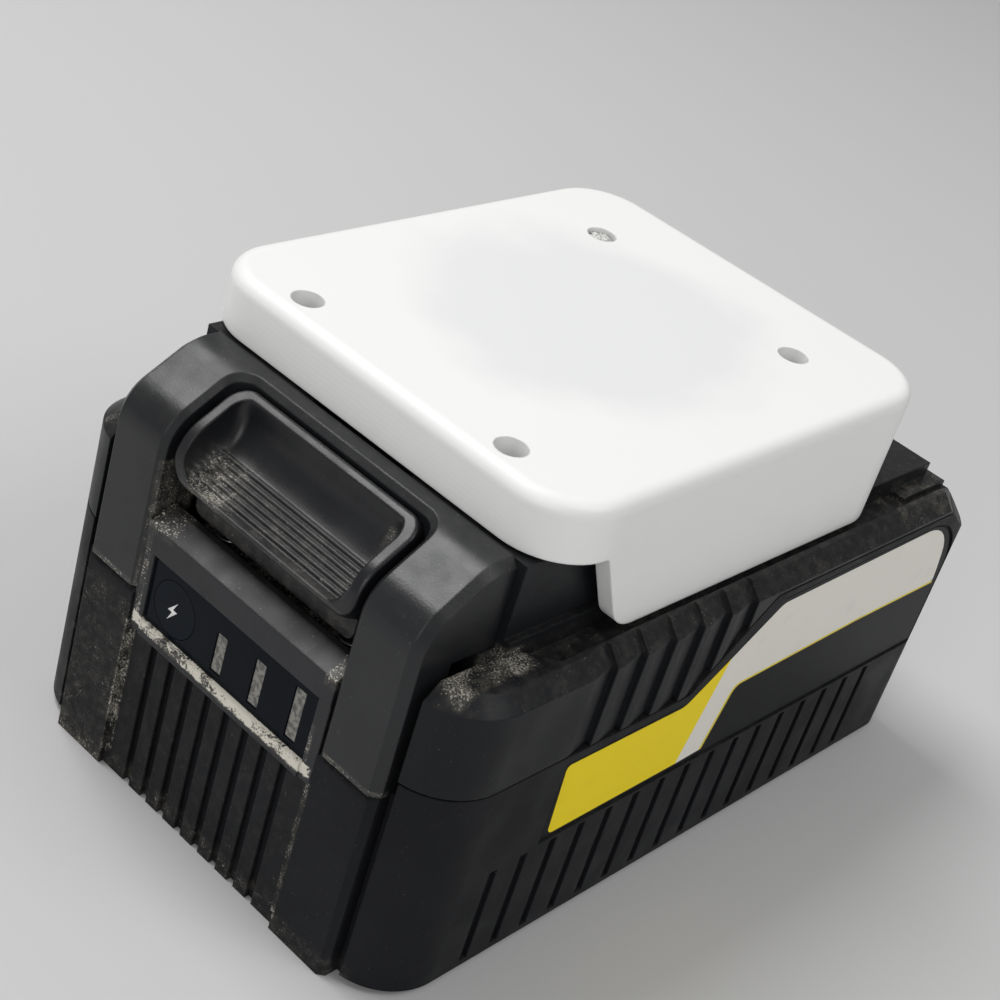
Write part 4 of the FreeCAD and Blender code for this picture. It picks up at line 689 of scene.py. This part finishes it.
def button_height(across, along, open_half, outer_half, ends):
    """The height of the face: the rim's profile, sunk to the scoop's between its end walls."""
    rim = np.interp(along, outer_t, outer_h)
    scoop = np.interp(along, scoop_t, scoop_h)
    share = np.clip((along - RIB_RUN[0]) / (RIB_RUN[1] - RIB_RUN[0]), 0, 1)
    ribbed = (share > 0) & (share < 1)
    scoop = scoop + ribbed * RIB_HEIGHT * (0.5 - 0.5 * np.cos(2 * np.pi * RIBS * share)) ** 0.7
    inward = np.clip((open_half - np.abs(across)) / END_WALL, 0, 1)
    wall = np.sqrt(1 - (1 - inward) ** 2)
    height = np.where(scoop < rim, rim + (scoop - rim) * wall, rim)
    edge = np.minimum(outer_half - np.abs(across), ends)
    return height - corner_inset(np.maximum(edge, 0), RIM_EDGE)


def make_button():
    """The closed button: the face over a back that follows the CAD's, joined round their rim. Returns
    the number of its faces."""
    across, along, open_half, outer_half, ends = button_grid()
    rows, columns = across.shape
    face_height = button_height(across, along, open_half, outer_half, ends)
    back_height = np.minimum(np.interp(along, back_t, back_h), face_height - LEAST_THICK)
    layers = []
    for height in (face_height, back_height):
        flat = start_point + along[..., None] * ALONG + height[..., None] * SQUARE
        layers.append(np.concatenate([across[..., None], flat], axis=-1).reshape(-1, 3))
    grid = grid_faces(rows, columns)
    index = np.arange(rows * columns).reshape(rows, columns)
    rim = np.concatenate([index[0, :-1], index[:-1, -1], index[-1, :0:-1], index[:0:-1, 0]])
    following = np.roll(rim, -1)
    count = rows * columns
    sides = np.stack([rim, rim + count, following + count, following], axis=1)
    faces = np.concatenate([grid, grid[:, ::-1] + count, sides])
    piece = new_piece("button_moulding", np.concatenate(layers) * MM, faces, materials["button_black"], True)
    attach(piece, "release")
    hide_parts("release_button")
    return len(faces)


print("button faces:", make_button())

# %% [markdown]
# Under the button's front a plain wall hangs down behind the gauge's bar. It shows dark and dusty in
# the gap over the bar, and it hides the springs. It stays behind the bar when the button is pressed.

# %% Button's hanging wall
SKIRT_LOW = (-15.2, -56.4, 43.4)
SKIRT_HIGH = (15.2, -55.6, 48.4)
SKIRT_CORNER = 1.5


def make_skirt():
    """A flat wall with round lower corners, from its lowest corner to its highest, in millimetres."""
    (left, front, foot), (right, back, head) = SKIRT_LOW, SKIRT_HIGH
    corners = [(left, head), (right, head), (right, foot, SKIRT_CORNER), (left, foot, SKIRT_CORNER)]
    points, faces = sheet_points(rounded(corners) * MM, 1, front * MM, (back - front) * MM)
    piece = new_piece("button_skirt", points, faces, materials["button_black"])
    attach(piece, "release")
    return piece.name


print("hanging wall:", make_skirt())

# %% [markdown]
# The key in the gauge carries a small white charge mark. It is a thin plate on the key's face.

# %% Mark on the key
KEY_LOW, KEY_HIGH = np.array(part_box("gauge_key")) / MM
MARK_SHIFT, MARK_THICK, MARK_WHITE = (-0.3, -0.4), 0.02, (0.82, 0.82, 0.80)
MARK = np.array([(0.05, 0.25), (0.90, 0.25), (-0.75, -1.70), (-0.05, -0.15), (-0.90, -0.15), (0.75, 1.70)])


def make_mark():
    """The mark as a thin plate, a little off the key's centre."""
    centre = (KEY_LOW[[0, 2]] + KEY_HIGH[[0, 2]]) / 2 + MARK_SHIFT
    outline = (MARK + centre) * MM
    points, faces = sheet_points(outline, 1, (KEY_LOW[1] - MARK_THICK) * MM, MARK_THICK * MM)
    material, tree, shader = new_material("mark_white", MARK_WHITE, 0.5)
    paint(tree, shader, ramp(tree, noise(tree, 0.0008), 0.4, 0.7), MARK_WHITE, (0.70, 0.70, 0.68))
    piece = new_piece("key_mark", points, faces, material)
    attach(piece, "key")
    return piece.name


print("charge mark:", make_mark())

# %% [markdown]
# One screw hole, the far left one, is plugged at its mouth by a torn shred of plastic. It is a flat
# ball that is pulled in and out by sums of sines over its longitude u and latitude v.

# %% Shred in the far left hole
HOLE_CENTRE = (-18.5, 18.9)
HOLDER_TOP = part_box("holder_shell")[1][2] / MM
SHRED_HALF = (1.85, 1.55, 0.42)
SHRED_DEPTH = 0.72
SHRED_STEPS, POLE_GAP = 56, 0.03


def torn_white():
    """The holder's plastic where it is torn: greyer, dirty and rough."""
    material, tree, shader = new_material("torn_white", (0.62, 0.62, 0.60), 0.75, Specular_IOR_Level=0.2)
    dirt = ramp(tree, noise(tree, 0.0005, 3.0), 0.40, 0.62)
    paint(tree, shader, dirt, (0.70, 0.70, 0.68), (0.34, 0.33, 0.31))
    bumps(tree, shader, [(noise(tree, 0.0004, 4.0), 0.0001)])
    return material


def make_shred():
    """A crumpled ball, of radius 1 + sin v (0.2 sin(5u + 2v) sin 4v + 0.16 sin 9u sin(7v + u)
    + 0.1 sin(13u - 3v)) before it is flattened to its half sizes. Returns its lowest and highest
    corners."""
    count = SHRED_STEPS
    u, v = np.meshgrid(np.linspace(0, 2 * np.pi, count, endpoint=False),
                       np.linspace(POLE_GAP, np.pi - POLE_GAP, count))
    folds = 0.20 * np.sin(5 * u + 2 * v) * np.sin(4 * v) + 0.16 * np.sin(9 * u) * np.sin(7 * v + u)
    ball = 1 + np.sin(v) * (folds + 0.10 * np.sin(13 * u - 3 * v))
    half = np.array(SHRED_HALF)
    direction = np.stack([np.sin(v) * np.cos(u), np.sin(v) * np.sin(u), np.cos(v)], axis=-1)
    points = (half * ball[..., None] * direction).reshape(-1, 3) + (*HOLE_CENTRE, HOLDER_TOP - SHRED_DEPTH)
    side = grid_faces(count, count, close_columns=True)[:, ::-1].tolist()
    poles = [list(range(count)), list(range(count * count - 1, count * (count - 1) - 1, -1))]
    piece = new_piece("hole_shred", points * MM, side + poles, torn_white(), True)
    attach(piece, "holder")
    return np.round(points.min(axis=0), 2).tolist(), np.round(points.max(axis=0), 2).tolist()


print("shred from and to, in mm:", make_shred())

# %% [markdown]
# Two coil springs push the button up. A coil is a round wire along a helix: at the angle a the middle
# of the wire is at (R cos a, R sin a), and it climbs slowly in its first and last turn, where the
# coil's end lies flat, and fast between.

# %% Latch springs
SPRING_LOW, SPRING_HIGH = np.array(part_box("latch_springs")) / MM
WIRE = 0.3
COIL = (SPRING_HIGH[1] - SPRING_LOW[1]) / 2 - WIRE
COIL_X = SPRING_HIGH[0] - COIL - WIRE
COIL_Y = (SPRING_HIGH[1] + SPRING_LOW[1]) / 2
TURNS, STEPS, SIDES = 7, 28, 10


def coil_wire(centre_x):
    """The points of one coil's wire, ring by ring, about the vertical line at centre_x."""
    angle = np.linspace(0, 2 * np.pi * TURNS, TURNS * STEPS + 1)
    turn = angle / (2 * np.pi)
    low, high = SPRING_LOW[2] + WIRE, SPRING_HIGH[2] - WIRE
    climb = np.interp(turn, [0, 1, TURNS - 1, TURNS], [low, low + 2 * WIRE, high - 2 * WIRE, high])
    around = np.linspace(0, 2 * np.pi, SIDES, endpoint=False)
    reach = COIL + WIRE * np.cos(around)[None, :]
    rise = climb[:, None] + WIRE * np.sin(around)[None, :]
    return np.stack([centre_x + reach * np.cos(angle)[:, None], COIL_Y + reach * np.sin(angle)[:, None],
                     np.broadcast_to(rise, (len(angle), SIDES))], axis=-1).reshape(-1, 3)


def make_springs():
    """Both coils as one piece, which stands for the plain sleeves of the model. Returns the number of
    its faces."""
    rings = TURNS * STEPS + 1
    wire = grid_faces(rings, SIDES, close_columns=True).tolist()
    ends = [list(range(SIDES))[::-1], list(range((rings - 1) * SIDES, rings * SIDES))]
    points, faces = [], []
    for centre in (-COIL_X, COIL_X):
        faces += [[corner + len(points) * rings * SIDES for corner in face] for face in wire + ends]
        points.append(coil_wire(centre))
    faces = [face[::-1] for face in faces]
    piece = new_piece("latch_coils", np.concatenate(points) * MM, faces, materials["spring_steel"], True)
    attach(piece, "release")
    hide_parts("latch_springs")
    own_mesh(piece)
    return len(faces)


print("spring faces:", make_springs())
